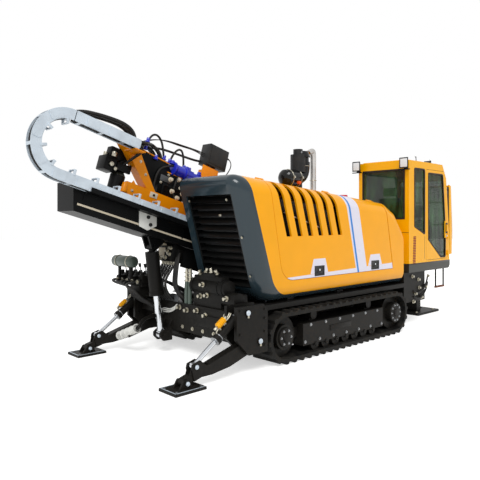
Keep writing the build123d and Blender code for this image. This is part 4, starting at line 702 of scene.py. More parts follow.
class AddIntake(bpy.types.Operator):
    """Add the air cleaner's canister, elbow and cap, and the exhaust's bent mouth"""
    bl_idname = "drill.intake"
    bl_label = "Air cleaner and exhaust"

    def execute(self, context):
        y = STACK_Y
        can = rod(at(-0.22, y, 2.30), at(0.06, y, 2.32), 0.125, sides=36)
        bpy.ops.object.mode_set(mode="EDIT")
        pick(can, lambda spot, way: way.x < -0.8)
        for inset, out in ((0.03, 0.035), (0.04, 0.022), (0.035, 0.006)):
            bpy.ops.mesh.inset(thickness=inset)
            bpy.ops.transform.translate(value=(-out, 0, 0))
        bpy.ops.object.mode_set(mode="OBJECT")
        elbow = hose([at(-0.02, y, 2.31), at(0.14, y, 2.32), at(0.19, y, 2.36), at(0.19, y, 2.56)], 0.102, 8)
        neck = rod(at(0.18, y, 2.50), at(0.18, y, 2.66), 0.098, sides=36, end_radius=0.09)
        cap = rod(at(0.15, y, 2.64), at(0.15, y, 2.715), 0.125, sides=36, end_radius=0.105)
        brim = rod(at(0.15, y, 2.625), at(0.15, y, 2.645), 0.135, sides=36)
        finish("air_cleaner_body", [can, elbow, neck, cap, brim], "gloss plastic", bevel=0.004)
        bands = [ring(at(0.02, y, 2.315), (1, 0, 0), 0.127, 0.006),
                 ring(at(-0.16, y, 2.305), (1, 0, 0), 0.127, 0.006),
                 ring(at(0.18, y, 2.5), (0, 0, 1), 0.1, 0.005)]
        tabs = [block(at(x, y - 0.15, 2.30), at(x + 0.03, y - 0.12, 2.33)) for x in (0.005, -0.175)]
        finish("air_cleaner_clamps", bands + tabs, "fitting", bevel=0.001)
        finish("air_cleaner_gauge", [rod(at(-0.06, y - 0.11, 2.24), at(-0.07, y - 0.165, 2.235), 0.024)],
               "orange plastic", bevel=0.003)
        mouth = hose([at(STACK_X, y, 2.55), at(STACK_X, y, 2.63), at(STACK_X, y, 2.735), at(STACK_X - 0.02, y, 2.75),
                      at(STACK_X - 0.11, y, 2.70)], 0.047, 8)
        dish(mouth, lambda spot, way: way.x < -0.5 and spot.x < MIDDLE.x + STACK_X - 0.1, 0.006, (0.05, 0, 0.03))
        finish("exhaust_mouth", [mouth], "stainless")
        finish("exhaust_heat_tint", [rod(at(STACK_X - 0.065, y, 2.725), at(STACK_X - 0.108, y, 2.702), 0.04, 24)],
               "heat tint")
        base = [ring(at(STACK_X, y, 2.04), (0, 0, 1), 0.062, 0.012),
                ring(at(STACK_X, y, 2.3), (0, 0, 1), 0.05, 0.006)]
        finish("exhaust_clamps", base, "fitting")
        cap = [rod(at(0.55, -0.62, 1.99), at(0.55, -0.62, 2.05), 0.05, sides=24),
               rod(at(0.55, -0.62, 2.04), at(0.55, -0.62, 2.068), 0.062, sides=12, end_radius=0.055)]
        finish("filler_cap", cap, "red plastic", bevel=0.003)
        return {"FINISHED"}


class AddSurround(bpy.types.Operator):
    """Add the rear grille's bolts, latch, wires and shroud, the left panels' seams and the screen behind the slots"""
    bl_idname = "drill.surround"
    bl_label = "Hood rear face"

    def execute(self, context):
        back = Vector((-1.0, 0.0, -HOOD_LEAN)).normalized()

        def rear(y, z):
            return at(HOOD_REAR_X + HOOD_LEAN * (HOOD_REAR_Z - z), y, z)

        bolts = [facing(rear(y, z), back) for y, z in ((-0.087, 1.93), (-0.766, 1.93), (-0.89, 1.05), (-0.89, 1.5))]
        bolt_row("surround_bolts", bolts, 0.011, 0.009, "fitting")
        latch = [block(rear(-0.63, 1.745) + back * 0.01 - Vector((0.008, 0, 0)),
                       rear(-0.59, 1.77) + back * 0.01 + Vector((0.012, 0, 0)))]
        finish("grille_latch", latch, "fitting", bevel=0.003)
        core = [hose([rear(-0.70 + 0.022 * i, 0.93) - back * 0.10, rear(-0.70 + 0.022 * i, 1.96) - back * 0.10],
                     0.0018, 1)
                for i in range(28)]
        finish("grille_wires", core, "grille plastic")
        shroud = plate([rear(-0.872, 0.89) - back * 0.145, rear(-0.02, 0.89) - back * 0.145,
                        rear(-0.02, 2.02) - back * 0.145,
                        rear(-0.872, 2.02) - back * 0.145], back * 0.004)
        walls = [plate([rear(-0.86, z) - back * 0.145, rear(-0.03, z) - back * 0.145, rear(-0.03, z) - back * 0.045,
                        rear(-0.86, z) - back * 0.045], (0, 0, 0.004)) for z in (0.898, 1.994)]
        finish("grille_shroud", [shroud, *walls], "grille plastic")
        left = [[(-1.30, 0.80), (-0.10, 0.80), (-0.10, 1.92), (-1.30, 2.02)],
                [(0.0, 0.80), (1.05, 0.80), (1.05, 1.82), (0.0, 1.91)]]
        seams = [seal([at(x, 0.049, z) for x, z in panel], (0, 0.003, 0), 0.05, 0.008) for panel in left]
        finish("left_panel_seams", seams, "window rubber")
        pulls = [block(at(x - 0.05, 0.049, 1.30), at(x + 0.05, 0.062, 1.38), taper=(0.9, 0.9))
                 for x in (-1.18, -0.22, 0.12, 0.93)]
        finish("left_panel_latches", pulls, "black plastic", bevel=0.004)
        slope = Vector((1.0, 0.0, -HOOD_SLOPE)).normalized()
        profile = [(-0.925, 1.46), (-0.925, 1.83), (-0.905, 1.93), (-0.86, 1.985), (-0.79, 2.01)]
        screen = outline_face([at(SCREEN_X[0], *profile[0]), at(SCREEN_X[0], *profile[1]),
                               at(SCREEN_X[0], profile[1][0] + 0.003, profile[1][1]),
                               at(SCREEN_X[0], profile[0][0] + 0.003, profile[0][1])])
        thicken(screen, slope * (SCREEN_X[1] - SCREEN_X[0]))
        strips = [screen]
        for (y0, z0), (y1, z1) in zip(profile[1:], profile[2:]):
            strips.append(plate([at(SCREEN_X[0], y0, z0), at(SCREEN_X[0], y1, z1), at(SCREEN_X[0], y1, z1 - 0.004),
                                 at(SCREEN_X[0], y0 + 0.004, z0 - 0.002)], slope * (SCREEN_X[1] - SCREEN_X[0])))
        finish("slot_screen", strips, "grille plastic", "hood_door")
        finish("slot_stay", [rod(at(-1.127, -0.95, 1.79), at(-0.42, -0.95, 1.60), 0.009, sides=12)], "stainless",
               "hood_door")
        return {"FINISHED"}


class AddCabTrim(bpy.types.Operator):
    """Add the window rubbers, lamps, handle, vent, aerials and guard of the cab, and the fittings and step below it"""
    bl_idname = "drill.cab_trim"
    bl_label = "Cab trim"

    def execute(self, context):
        def side(points, y):
            return [at(x, y, z) for x, z in points]

        rubbers = [seal(side(QUARTER, -1.004), (0, 0.02, 0), 0.04, 0.024),
                   seal(side(LEFT_WINDOW, CAB_LEFT_Y + 0.004), (0, -0.02, 0), 0.04, 0.024),
                   seal([at(CAB_REAR_X - 0.004, y, z) for y, z in REAR_WINDOW], (0.02, 0, 0), 0.03, 0.026)]
        finish("cab_window_rubbers", rubbers, "window rubber", bevel=0.003)
        finish("cab_door_rubber", [seal(side(DOOR_WINDOW, -1.004), (0, 0.02, 0), 0.04, 0.024)], "window rubber",
               "cab_door", bevel=0.003)
        gap = [seal(side(DOOR_EDGE, -0.992), (0, 0.008, 0), 0.03, 0.012)]
        finish("cab_door_seal", gap, "window rubber")

        frames, lenses, stems = [], [], []
        for y in LAMP_Y:
            body = block(at(1.66, y - 0.078, 2.515), at(1.715, y + 0.078, 2.685))
            bpy.ops.object.mode_set(mode="EDIT")
            pick(body, lambda spot, way: way.x > 0.9)
            bpy.ops.transform.resize(value=(1, 0.6, 0.6))
            pick(body, lambda spot, way: way.x < -0.9)
            bpy.ops.mesh.inset(thickness=0.02)
            bpy.ops.mesh.extrude_region_move(TRANSFORM_OT_translate={"value": (0.010, 0, 0)})
            bpy.ops.object.mode_set(mode="OBJECT")
            frames.append(body)
            lens = block(at(1.660, y - 0.060, 2.534), at(1.676, y + 0.060, 2.666))
            bpy.ops.object.mode_set(mode="EDIT")
            pick(lens, lambda spot, way: way.x < -0.9)
            bpy.ops.mesh.inset(thickness=0.012)
            bpy.ops.transform.translate(value=(-0.004, 0, 0))
            bpy.ops.object.mode_set(mode="OBJECT")
            lenses.append(lens)
            stems.append(plate([at(1.70, y - 0.02, 2.50), at(1.765, y - 0.02, 2.50), at(1.765, y - 0.02, 2.55),
                                at(1.71, y - 0.02, 2.56)], (0, 0.04, 0)))
            stems.append(block(at(1.676, y - 0.09, 2.49), at(1.70, y + 0.09, 2.505)))
        finish("lamp_bodies", frames, "black plastic", bevel=0.004)
        finish("lamp_lenses", lenses, "lamp lens", bevel=0.002)
        finish("lamp_brackets", stems, "frame enamel", bevel=0.002)
        front = [block(at(2.90, y - 0.06, 2.655), at(2.94, y + 0.06, 2.74)) for y in FRONT_LAMP_Y]
        finish("front_lamp_bodies", front, "black plastic", bevel=0.006)
        front = [rod(at(2.938, y, 2.70), at(2.948, y, 2.70), 0.036, 28, 0.03) for y in FRONT_LAMP_Y]
        finish("front_lamp_lenses", front, "lamp lens", bevel=0.002)

        aerials = [rod(at(x, -0.8, 2.64), at(x, -0.8, 2.64 + h), 0.008, 10, 0.005) for x,
                   h in ((2.36, 0.13), (2.87, 0.10))]
        aerials += [rod(at(x, -0.8, 2.64 + h - 0.02), at(x - 0.035, -0.8, 2.66 + h), 0.004, 8)
                    for x, h in ((2.36, 0.11), (2.87, 0.09))]
        finish("roof_aerials", aerials, "black plastic", bevel=0.001)
        roof = block(at(1.80, -0.96, 2.645), at(2.86, -0.11, 2.668), taper=(0.97, 0.95))
        hatch = block(at(2.1, -0.75, 2.66), at(2.6, -0.32, 2.678), taper=(0.94, 0.94))
        finish("roof_panel", [roof, hatch], "cab enamel", bevel=0.008)

        handle = block(at(2.965, -1.014, 1.39), at(3.072, -0.999, 1.685), taper=(0.9, 1.0))
        finish("handle_plate", [handle], "cab enamel", "cab_door", bevel=0.004)
        cup = block(at(2.985, -1.0195, 1.47), at(3.058, -1.012, 1.65))
        dish(cup, lambda spot, way: way.y < -0.9, 0.006, (0, 0.004, 0))
        finish("handle_cup", [cup], "black plastic", "cab_door", bevel=0.002)
        finish("handle_lever", [block(at(3.006, -1.032, 1.50), at(3.032, -1.016, 1.62))], "cab enamel", "cab_door",
               bevel=0.004)
        finish("handle_lock", [rod(at(3.02, -1.012, 1.428), at(3.02, -1.026, 1.428), 0.018, 20, 0.015)], "chrome",
               "cab_door")

        slots = [block(at(1.885 + VENT_LEAN * k, -1.004, 0.996 + 0.0265 * k),
                       at(1.965 + VENT_LEAN * k, -0.995, 1.012 + 0.0265 * k))
                 for k in range(17)]
        finish("vent_slots", slots, "vent mesh")
        seams = [block(at(2.270, -1.0012, 1.06), at(2.276, -0.999, 1.44)),
                 block(at(1.7625, -0.995, 1.497), at(1.765, -0.83, 1.504))]
        finish("cab_seams", seams, "window rubber")

        posts = []
        for y in (-0.985, -0.085):
            posts.append(plate([at(3.185, y - 0.012, 1.10), at(3.27, y - 0.012, 1.10), at(3.29, y - 0.012, 1.5),
                                at(3.235, y - 0.012, 2.30), at(3.165, y - 0.012, 2.32)], (0, 0.024, 0)))
        # Dark plates filling the gap between the cab's front and the guard: painted shade, for the shadow in that gap
        sides = [plate([at(3.125, y, 1.12), at(3.19, y, 1.12), at(3.215, y, 1.5), at(3.185, y, 2.28),
                        at(3.10, y, 2.28), at(3.15, y, 1.5)],
                       (0, 0.006, 0)) for y in (-0.99, -0.08)]
        finish("guard_painted_shade_plates", sides, "window rubber")
        rails = [block(at(x, -0.985, z), at(x + 0.02, -0.085, z + 0.03))
                 for x, z in ((3.255, 1.11), (3.25, 1.6), (3.215, 2.0), (3.2, 2.28))]
        finish("front_guard", posts + rails, "cab enamel", bevel=0.004)
        brackets = [block(at(x, y - 0.03, z), at(3.2, y + 0.03, z + 0.03)) for y in (-0.95, -0.12)
                    for x, z in ((3.12, 1.2), (3.03, 2.22))]
        finish("guard_brackets", brackets, "frame enamel", bevel=0.003)
        bars = [hose([at(3.275, -0.92 + 0.075 * k, 1.13), at(3.27, -0.92 + 0.075 * k, 1.6),
                      at(3.215, -0.92 + 0.075 * k, 2.3)], 0.005, 2)
                for k in range(11)]
        finish("guard_bars", bars, "frame enamel")
        edge = [block(at(CAB_REAR_X - 0.004, -1.006, 0.985), at(3.17, -0.998, 1.006))]
        finish("sill_strip", edge, "grey enamel", bevel=0.002)
        under = [facing(at(x, -0.972, z), (0, -1, 0), x) for x, z in
                 ((1.913, 0.798), (2.106, 0.735), (2.339, 0.601), (2.009, 0.515), (1.945, 0.392), (2.205, 0.44),
                  (2.42, 0.772), (2.13, 0.60))]
        bolt_row("under_cab_fittings", under, 0.022, 0.035, "fitting", bevel=0.002)
        loops = [hose([at(1.95, -0.975, z), at(2.05, -1.0, z - 0.06), at(2.2, -1.0, z - 0.02),
                       at(2.36, -0.99, z + 0.1), at(2.42, -0.972, z + 0.2)], 0.013)
                 for z in (0.56, 0.47)]
        finish("under_cab_hoses", loops, "hose rubber")
        tread = [block(at(2.69, -0.985, 0.545), at(3.01, -0.955, 0.572))]
        tread += [block(at(2.71 + 0.04 * k, -0.99, 0.57), at(2.72 + 0.04 * k, -0.95, 0.578)) for k in range(7)]
        finish("step_tread", tread, "rusty steel", bevel=0.003)
        return {"FINISHED"}


class AddDragChain(bpy.types.Operator):
    """Add the hoses and the white hoops in the drag chain, and the top run as one piece"""
    bl_idname = "drill.drag_chain"
    bl_label = "Drag chain"

    def execute(self, context):
        radius = context.scene.drill_sizes.hose
        runs = [-1.56, -1.2, -0.8, -0.4, -0.12, *[0.06 + 0.155 * k for k in range(7)]]
        rows = [(y, out) for y in (0.088, 0.128, 0.168) for out in (-0.036, 0.0, 0.036)]
        lower = [hose([along_chain(run, y, out) for run in runs], radius) for y, out in rows]
        finish("chain_hoses", lower, "hose rubber", "chain_loop")
        hoops = []
        for run in (-1.56, -1.28, -1.0, -0.72, -0.44, -0.16, 0.12, 0.40, 0.68, 0.96):
            along = (along_chain(run + 0.01, 0, 0) - along_chain(run - 0.01, 0, 0)).normalized() * 0.03
            for y0, y1, low, high in ((0.061, 0.073, -0.112, -0.045), (0.183, 0.195, -0.112, -0.045),
                                      (0.073, 0.183, -0.112, -0.1)):
                foot = along_chain(run, y0, low) - along / 2
                top = along_chain(run, y0, high) - along / 2
                across = Vector((0, y1 - y0, 0))
                hoops.append(plate([foot, top, top + across, foot + across], along))
        finish("chain_hoops", hoops, "zinc", "chain_loop", bevel=0.0015)

        # The top run bends away between the loop and the carriage, so it is joined into one piece that rides no body
        plates = borrow("drag_chain_top")
        tubes = [hose([on_boom(s, y, CHAIN_HIGH_N + out) for s in (-0.311, -0.2, 0.0, 0.2, 0.4, 0.52)], radius) for y,
                 out in rows]
        for item in tubes:
            item.data.materials.append(FINISH["hose rubber"])
        plates.data.materials.clear()
        plates.data.materials.append(FINISH["zinc"])
        make_active(plates, *tubes)
        bpy.ops.object.join()
        run = bpy.context.object
        run.name = run.data.name = "chain_top_run"
        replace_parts(run, "drag_chain_top")
        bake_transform(run)
        return {"FINISHED"}


class AddCarriage(bpy.types.Operator):
    """Add the hoses, ports, control box, bolts and rails of the drill carriage"""
    bl_idname = "drill.carriage"
    bl_label = "Drill carriage"

    def execute(self, context):
        radius = context.scene.drill_sizes.hose

        def line(y, points):
            return [on_boom(s, y, n) for s, n in points]

        # From the drag chain over the post to the motors, then the small arcs between the ports
        main = [hose([on_boom(0.50, y0, CHAIN_HIGH_N + out), on_boom(0.60, y0, CHAIN_HIGH_N + 0.02 + out),
                      on_boom(0.72, y1, 1.06), on_boom(0.84, y2, 1.15), on_boom(0.98, y2, 1.12),
                      on_boom(1.05, y2, 1.05),
                      on_boom(1.06, y2, 0.985)], radius)
                for y0, out, y1,
                y2 in ((0.088, 0.036, 0.2, 0.40), (0.128, 0.036, 0.26, 0.44), (0.168, 0.036, 0.3, 0.52),
                                        (0.128, 0.0, 0.34, 0.56), (0.168, 0.0, 0.38, 0.58))]
        main += [hose([on_boom(0.50, y, CHAIN_HIGH_N + out), on_boom(0.62, y, CHAIN_HIGH_N + out),
                       on_boom(0.60, 0.27, 0.86),
                       on_boom(0.56, 0.34, 0.78), on_boom(0.53, 0.41, 0.72)], radius)
                 for y, out in ((0.088, 0.0), (0.088, -0.036), (0.128, -0.036), (0.168, -0.036))]
        main += [hose(line(y,
                           [(-0.30 + d, 1.03), (-0.22, 1.09 + d), (-0.02, 1.14 + d), (0.181, 1.165 + d),
                            (0.38, 1.18 + d), (0.50, 1.12),
                               (0.52, 1.045)]), 0.024)
                 for y, d in ((0.23, 0.0), (0.285, 0.015), (0.34, 0.0))]
        finish("carriage_hoses", main, "hose rubber", "carriage")
        arcs = [(0.40, 0.014, [(0.79, 1.06), (0.80, 1.2), (0.86, 1.30), (0.96, 1.28), (1.03, 1.2), (1.09, 1.03)]),
                (0.44, 0.014, [(1.21, 1.03), (1.24, 1.18), (1.31, 1.27), (1.38, 1.25), (1.42, 1.15), (1.45, 1.03)]),
                (0.52, 0.016, [(0.86, 1.1), (1.0, 1.17), (1.2, 1.2), (1.5, 1.22), (1.70, 1.24), (1.80, 1.27)]),
                (0.36, 0.013, [(1.26, 1.0), (1.18, 0.96), (1.10, 0.93), (1.02, 0.86), (1.0, 0.7), (1.03, 0.5)]),
                (0.365, 0.012, [(1.3, 0.98), (1.36, 0.88), (1.3, 0.74), (1.33, 0.60), (1.42, 0.5)]),
                (0.58, 0.014, [(1.52, 1.03), (1.62, 1.06), (1.66, 0.9), (1.64, 0.7), (1.62, 0.5)]),
                (0.40, 0.014, [(0.62, 0.72), (0.70, 0.86), (0.84, 0.92), (0.98, 0.88), (1.09, 0.84)]),
                (0.50, 0.014, [(0.62, 0.70), (0.74, 0.80), (0.9, 0.84), (1.09, 0.8)])]
        finish("carriage_small_hoses", [hose(line(y, points), r) for y, r, points in arcs], "hose rubber", "carriage")
        cables = [hose([on_boom(0.64, 0.43, 1.05), on_boom(0.9, 0.4 + 0.03 * k, 1.27 + 0.012 * k),
                        on_boom(1.3, 0.42, 1.31 - 0.02 * k),
                        on_boom(1.6, 0.44, 1.36), on_boom(1.76, 0.44, 1.36 - 0.03 * k)], 0.006, 3) for k in range(3)]
        cables += [hose([on_boom(2.08, 0.36 + 0.03 * k, 1.42), on_boom(2.20, 0.36, 1.40 + 0.015 * k),
                         on_boom(2.24, 0.4, 1.25),
                         on_boom(2.1, 0.46, 1.05), on_boom(1.98, 0.5, 0.9)], 0.006, 3) for k in range(3)]
        finish("carriage_cables", cables, "hose rubber", "carriage")

        nuts, collars = [], []
        for y in (0.38, 0.54):
            for s in (1.22, 1.46, 1.50, 1.68):
                nuts.append(facing(on_boom(s, y, 1.008), UPWARD, s))
        for s, y, n in ((0.60, 0.38, 1.05), (0.775, 0.36, 1.13), (0.79, 0.40, 1.045), (0.95, 0.37, 0.97),
                        (1.09, 0.40, 1.02),
                        (1.21, 0.44, 1.02), (1.45, 0.44, 1.02)):
            collars.append(facing(on_boom(s, y, n), UPWARD, 0.3))
        bolt_row("motor_ports", nuts, 0.028, 0.05, "motor enamel", "carriage", bevel=0.002)
        bolt_row("carriage_couplings", collars, 0.024, 0.06, "motor enamel", "carriage", bevel=0.002)
        pale = [facing(on_boom(s, 0.371, n), (0, -1, 0), 0.2) for s, n in
                ((1.24, 0.80), (1.36, 0.84), (1.43, 0.74), (1.30, 0.66), (1.40, 0.60), (1.47, 0.68), (1.34, 0.52),
                 (1.5, 0.55))]
        bolt_row("gearbox_fittings", pale, 0.024, 0.045, "cream enamel", "carriage", bevel=0.002)
        steel = [facing(on_boom(1.11 + 0.055 * k, 0.3715, 0.43), (0, -1, 0), 0.4 * k) for k in range(9)]
        steel += [facing(on_boom(s, 0.3715, n), (0, -1, 0), n) for s,
                  n in ((1.11, 0.72), (1.11, 0.52), (1.57, 0.78), (1.57, 0.55), (1.2, 0.85), (1.5, 0.85))]
        steel += [facing(on_boom(s, 0.3075, n), (0, -1, 0), n) for s,
                  n in ((0.47, 1.0), (0.60, 1.0), (0.72, 0.85), (0.83, 0.72), (0.70, 0.47), (1.9, 0.47), (1.8, 0.47))]
        bolt_row("carriage_bolts", steel, 0.014, 0.014, "fitting", "carriage", bevel=0.0015)
        flange = [rod(on_boom(1.235, y, 0.957), on_boom(1.262, y, 0.957), 0.09, 32) for y in (0.38, 0.54)]
        flange += [rod(on_boom(1.42, y, 0.957), on_boom(1.445, y, 0.957), 0.084, 32) for y in (0.38, 0.54)]
        finish("motor_flanges", flange, "motor enamel", "carriage", bevel=0.003)
        plates = [boom_block(1.085, 1.254, 0.366, 0.373, 0.746, 0.823)]
        finish("gearbox_plate", plates, "aluminium", "carriage", bevel=0.002)
        edges = [boom_block(1.17, 1.52, 0.368, 0.384, 0.874, 0.886), boom_block(1.08, 1.6, 0.368, 0.376, 0.40, 0.412)]
        finish("gearbox_edge", edges, "carriage enamel", "carriage", bevel=0.002)
        cover = [boom_block(1.14, 1.54, 0.358, 0.373, 0.45, 0.72)]
        dish(cover[0], lambda spot, way: way.y < -0.9, 0.03, (0, 0.006, 0))
        finish("gearbox_cover", cover, "boom enamel", "carriage", bevel=0.004)
        housing = [(0.92, 0.70), (1.25, 0.66), (1.25, 0.885), (1.17, 0.985), (0.68, 1.02), (0.66, 0.99)]
        finish("swivel_housing", [plate([on_boom(s, 0.378, n) for s, n in housing], (0, 0.19, 0))], "boom enamel",
               "carriage", bevel=0.006)
        finish("housing_edge",
               [plate([on_boom(s, 0.372, n) for s, n in ((0.66, 1.022), (1.17, 0.987), (1.17, 1.0), (0.66, 1.035))],
                                      (0, 0.03, 0))], "carriage enamel", "carriage", bevel=0.002)
        tag = [boom_block(0.955, 1.07, 0.302, 0.3085, 0.475, 0.545)]
        finish("web_plate", tag, "cream enamel", "carriage", bevel=0.003)
        finish("web_plate_pin", stamp(pin_end(0.016, 0.012), [facing(on_boom(1.012, 0.302, 0.51), (0, -1, 0))]),
               "black plastic", "carriage")

        box = [boom_block(1.73, 2.08, 0.33, 0.52, 1.20, 1.50), boom_block(1.76, 2.05, 0.322, 0.334, 1.23, 1.47)]
        finish("control_box", box, "black plastic", "carriage", bevel=0.008)
        legs = [boom_block(1.80, 1.83, 0.40, 0.46, 1.14, 1.21), boom_block(1.92, 1.95, 0.40, 0.46, 1.14, 1.21)]
        legs += [boom_block(1.70, 1.98, 0.352, 0.374, 0.95, 1.18)]
        finish("control_box_bracket", legs, "carriage enamel", "carriage", bevel=0.004)
        lumps = [boom_block(0.30, 0.46, 0.38, 0.58, 0.62, 0.80), boom_block(0.36, 0.60, 0.42, 0.54, 0.79, 0.93),
                 boom_block(0.46, 0.66, 0.37, 0.41, 0.66, 0.76)]
        finish("feed_valve", lumps, "frame enamel", "carriage", bevel=0.012)
        dome = [rod(on_boom(0.56, 0.48, 0.40), on_boom(0.56, 0.48, 0.44), 0.115, 36),
                rod(on_boom(0.56, 0.48, 0.615), on_boom(0.56, 0.48, 0.66), 0.096, 32, 0.07)]
        finish("feed_motor_collar", dome, "grey enamel", "carriage", bevel=0.004)
        caps = [rod(on_boom(0.40, 0.395, 0.80), on_boom(0.40, 0.395, 0.86), 0.03),
                rod(on_boom(0.34, 0.5, 0.80), on_boom(0.34, 0.5, 0.85), 0.026)]
        caps += [rod(on_boom(0.38, 0.378, 0.70), on_boom(0.38, 0.35, 0.70), 0.028),
                 rod(on_boom(0.44, 0.378, 0.66), on_boom(0.44, 0.35, 0.66), 0.022)]
        finish("feed_valve_caps", caps, "fitting", "carriage", bevel=0.004)
        knob = [rod(on_boom(0.60, 0.33, 0.42), on_boom(0.60, 0.33, 0.54), 0.045, 24, 0.03),
                boom_block(0.54, 0.66, 0.312, 0.35, 0.40, 0.43)]
        fork = [plate([on_boom(0.62, 0.318, 0.44), on_boom(0.68, 0.318, 0.44), on_boom(0.74, 0.318, 0.56),
                       on_boom(0.70, 0.318, 0.6)], (0, 0.02, 0))]
        finish("feed_tensioner", knob + fork, "carriage enamel", "carriage", bevel=0.003)
        rollers = [rod(on_boom(s, y, 0.33), on_boom(s, y + 0.02, 0.33), 0.02) for s in (0.55, 0.9, 1.3, 1.6, 1.9)
                   for y in (0.31, 0.59)]
        finish("carriage_roller_caps", rollers, "steel", "carriage", bevel=0.002)
        return {"FINISHED"}


class AddBeam(bpy.types.Operator):
    """Add the drill beam's edge strip, end cover, lug, ribs and clamped pipes, and the vises' bolts and hoses"""
    bl_idname = "drill.beam"
    bl_label = "Drill beam and vises"

    def execute(self, context):
        strip = [boom_block(0.02, 6.1, 0.197, 0.204, 0.075, 0.098)]
        finish("beam_edge_strip", strip, "cream enamel", "boom", bevel=0.002)
        end = [boom_block(-0.012, 0.003, 0.235, 0.565, 0.05, 0.27)]
        dish(end[0], lambda spot, way: way.x < -0.8, 0.02, (0.006, 0, -0.0017))
        finish("beam_end_cover", end, "grey enamel", "boom", bevel=0.003)
        shape = [(0.79, 0.25), (1.03, 0.315), (1.08, 0.13), (0.97, 0.045), (0.84, 0.065)]
        lug = [plate([on_boom(s, 0.196, n) for s, n in shape], (0, -0.018, 0))]
        finish("beam_lug", lug, "white enamel", "boom", bevel=0.004)
        pins = [facing(on_boom(s, 0.178, n), (0, -1, 0)) for s, n in ((0.93, 0.2), (0.985, 0.12))]
        finish("beam_lug_pins", stamp(pin_end(0.022, 0.02), pins), "black plastic", "boom")
        ribs = [boom_block(s, s + 0.012, 0.186, 0.2, 0.08, 0.235) for s in (1.5, 2.2, 2.9, 3.6, 4.3, 5.0, 5.7)]
        ribs += [boom_block(s, s + 0.012, 0.6, 0.614, 0.03, 0.24) for s in (0.8, 1.5, 2.2, 2.9, 3.6, 4.3, 5.0, 5.7)]
        finish("beam_ribs", ribs, "boom enamel", "boom", bevel=0.002)
        pipes = [hose([on_boom(s, y, n) for s in (0.9, 2.5, 4.2, 5.0, 5.35)], 0.012, 3) for y,
                 n in ((0.618, 0.12), (0.618, 0.16), (0.618, 0.2))]
        finish("beam_pipes", pipes, "fitting", "boom")
        clamps = [boom_block(s, s + 0.04, 0.604, 0.634, 0.1, 0.22) for s in (1.1, 1.9, 2.7, 3.5, 4.5)]
        finish("beam_pipe_clamps", clamps, "frame enamel", "boom", bevel=0.003)

        bolts = []
        for y, way in ((0.26, -1), (0.66, 1)):
            for s, n in ((5.76, 0.36), (6.06, 0.36), (5.76, 0.91), (6.06, 0.91), (5.76, 0.5), (6.06, 0.5)):
                bolts.append(facing(on_boom(s, y, n), (0, way, 0), n))
        fixed = [facing(on_boom(5.912, y, 0.72) + Vector((0, way * 0.001, 0)), (0, way, 0)) for y,
                 way in ((0.13, -1), (0.79, 1))]
        bolt_row("vise_bolts", bolts, 0.018, 0.016, "fitting", "boom", bevel=0.0015)
        finish("vise_fixed_caps", stamp(pin_end(0.056, 0.014), fixed), "fitting", "boom", bevel=0.002)
        turning = [facing(on_boom(5.5325, y, 0.72), (0, way, 0)) for y, way in ((0.15, -1), (0.77, 1))]
        finish("vise_turning_caps", stamp(pin_end(0.056, 0.014), turning), "fitting", "vise_turning", bevel=0.002)
        faces = [boom_block(6.1, 6.112, 0.30, 0.34, 0.40, 0.90), boom_block(6.1, 6.112, 0.58, 0.62, 0.40, 0.90)]
        finish("vise_front_ribs", faces, "carriage enamel", "boom", bevel=0.003)
        lines = [hose([on_boom(5.912, y, 0.79), on_boom(5.912, y, 0.98), on_boom(5.80, y * 0.4 + 0.36, 0.995),
                       on_boom(5.66, 0.64, 0.6),
                       on_boom(5.5, 0.63, 0.34), on_boom(5.3, 0.618, 0.2)], 0.013) for y in (0.18, 0.74)]
        finish("vise_hoses", lines, "hose rubber", "boom")
        return {"FINISHED"}


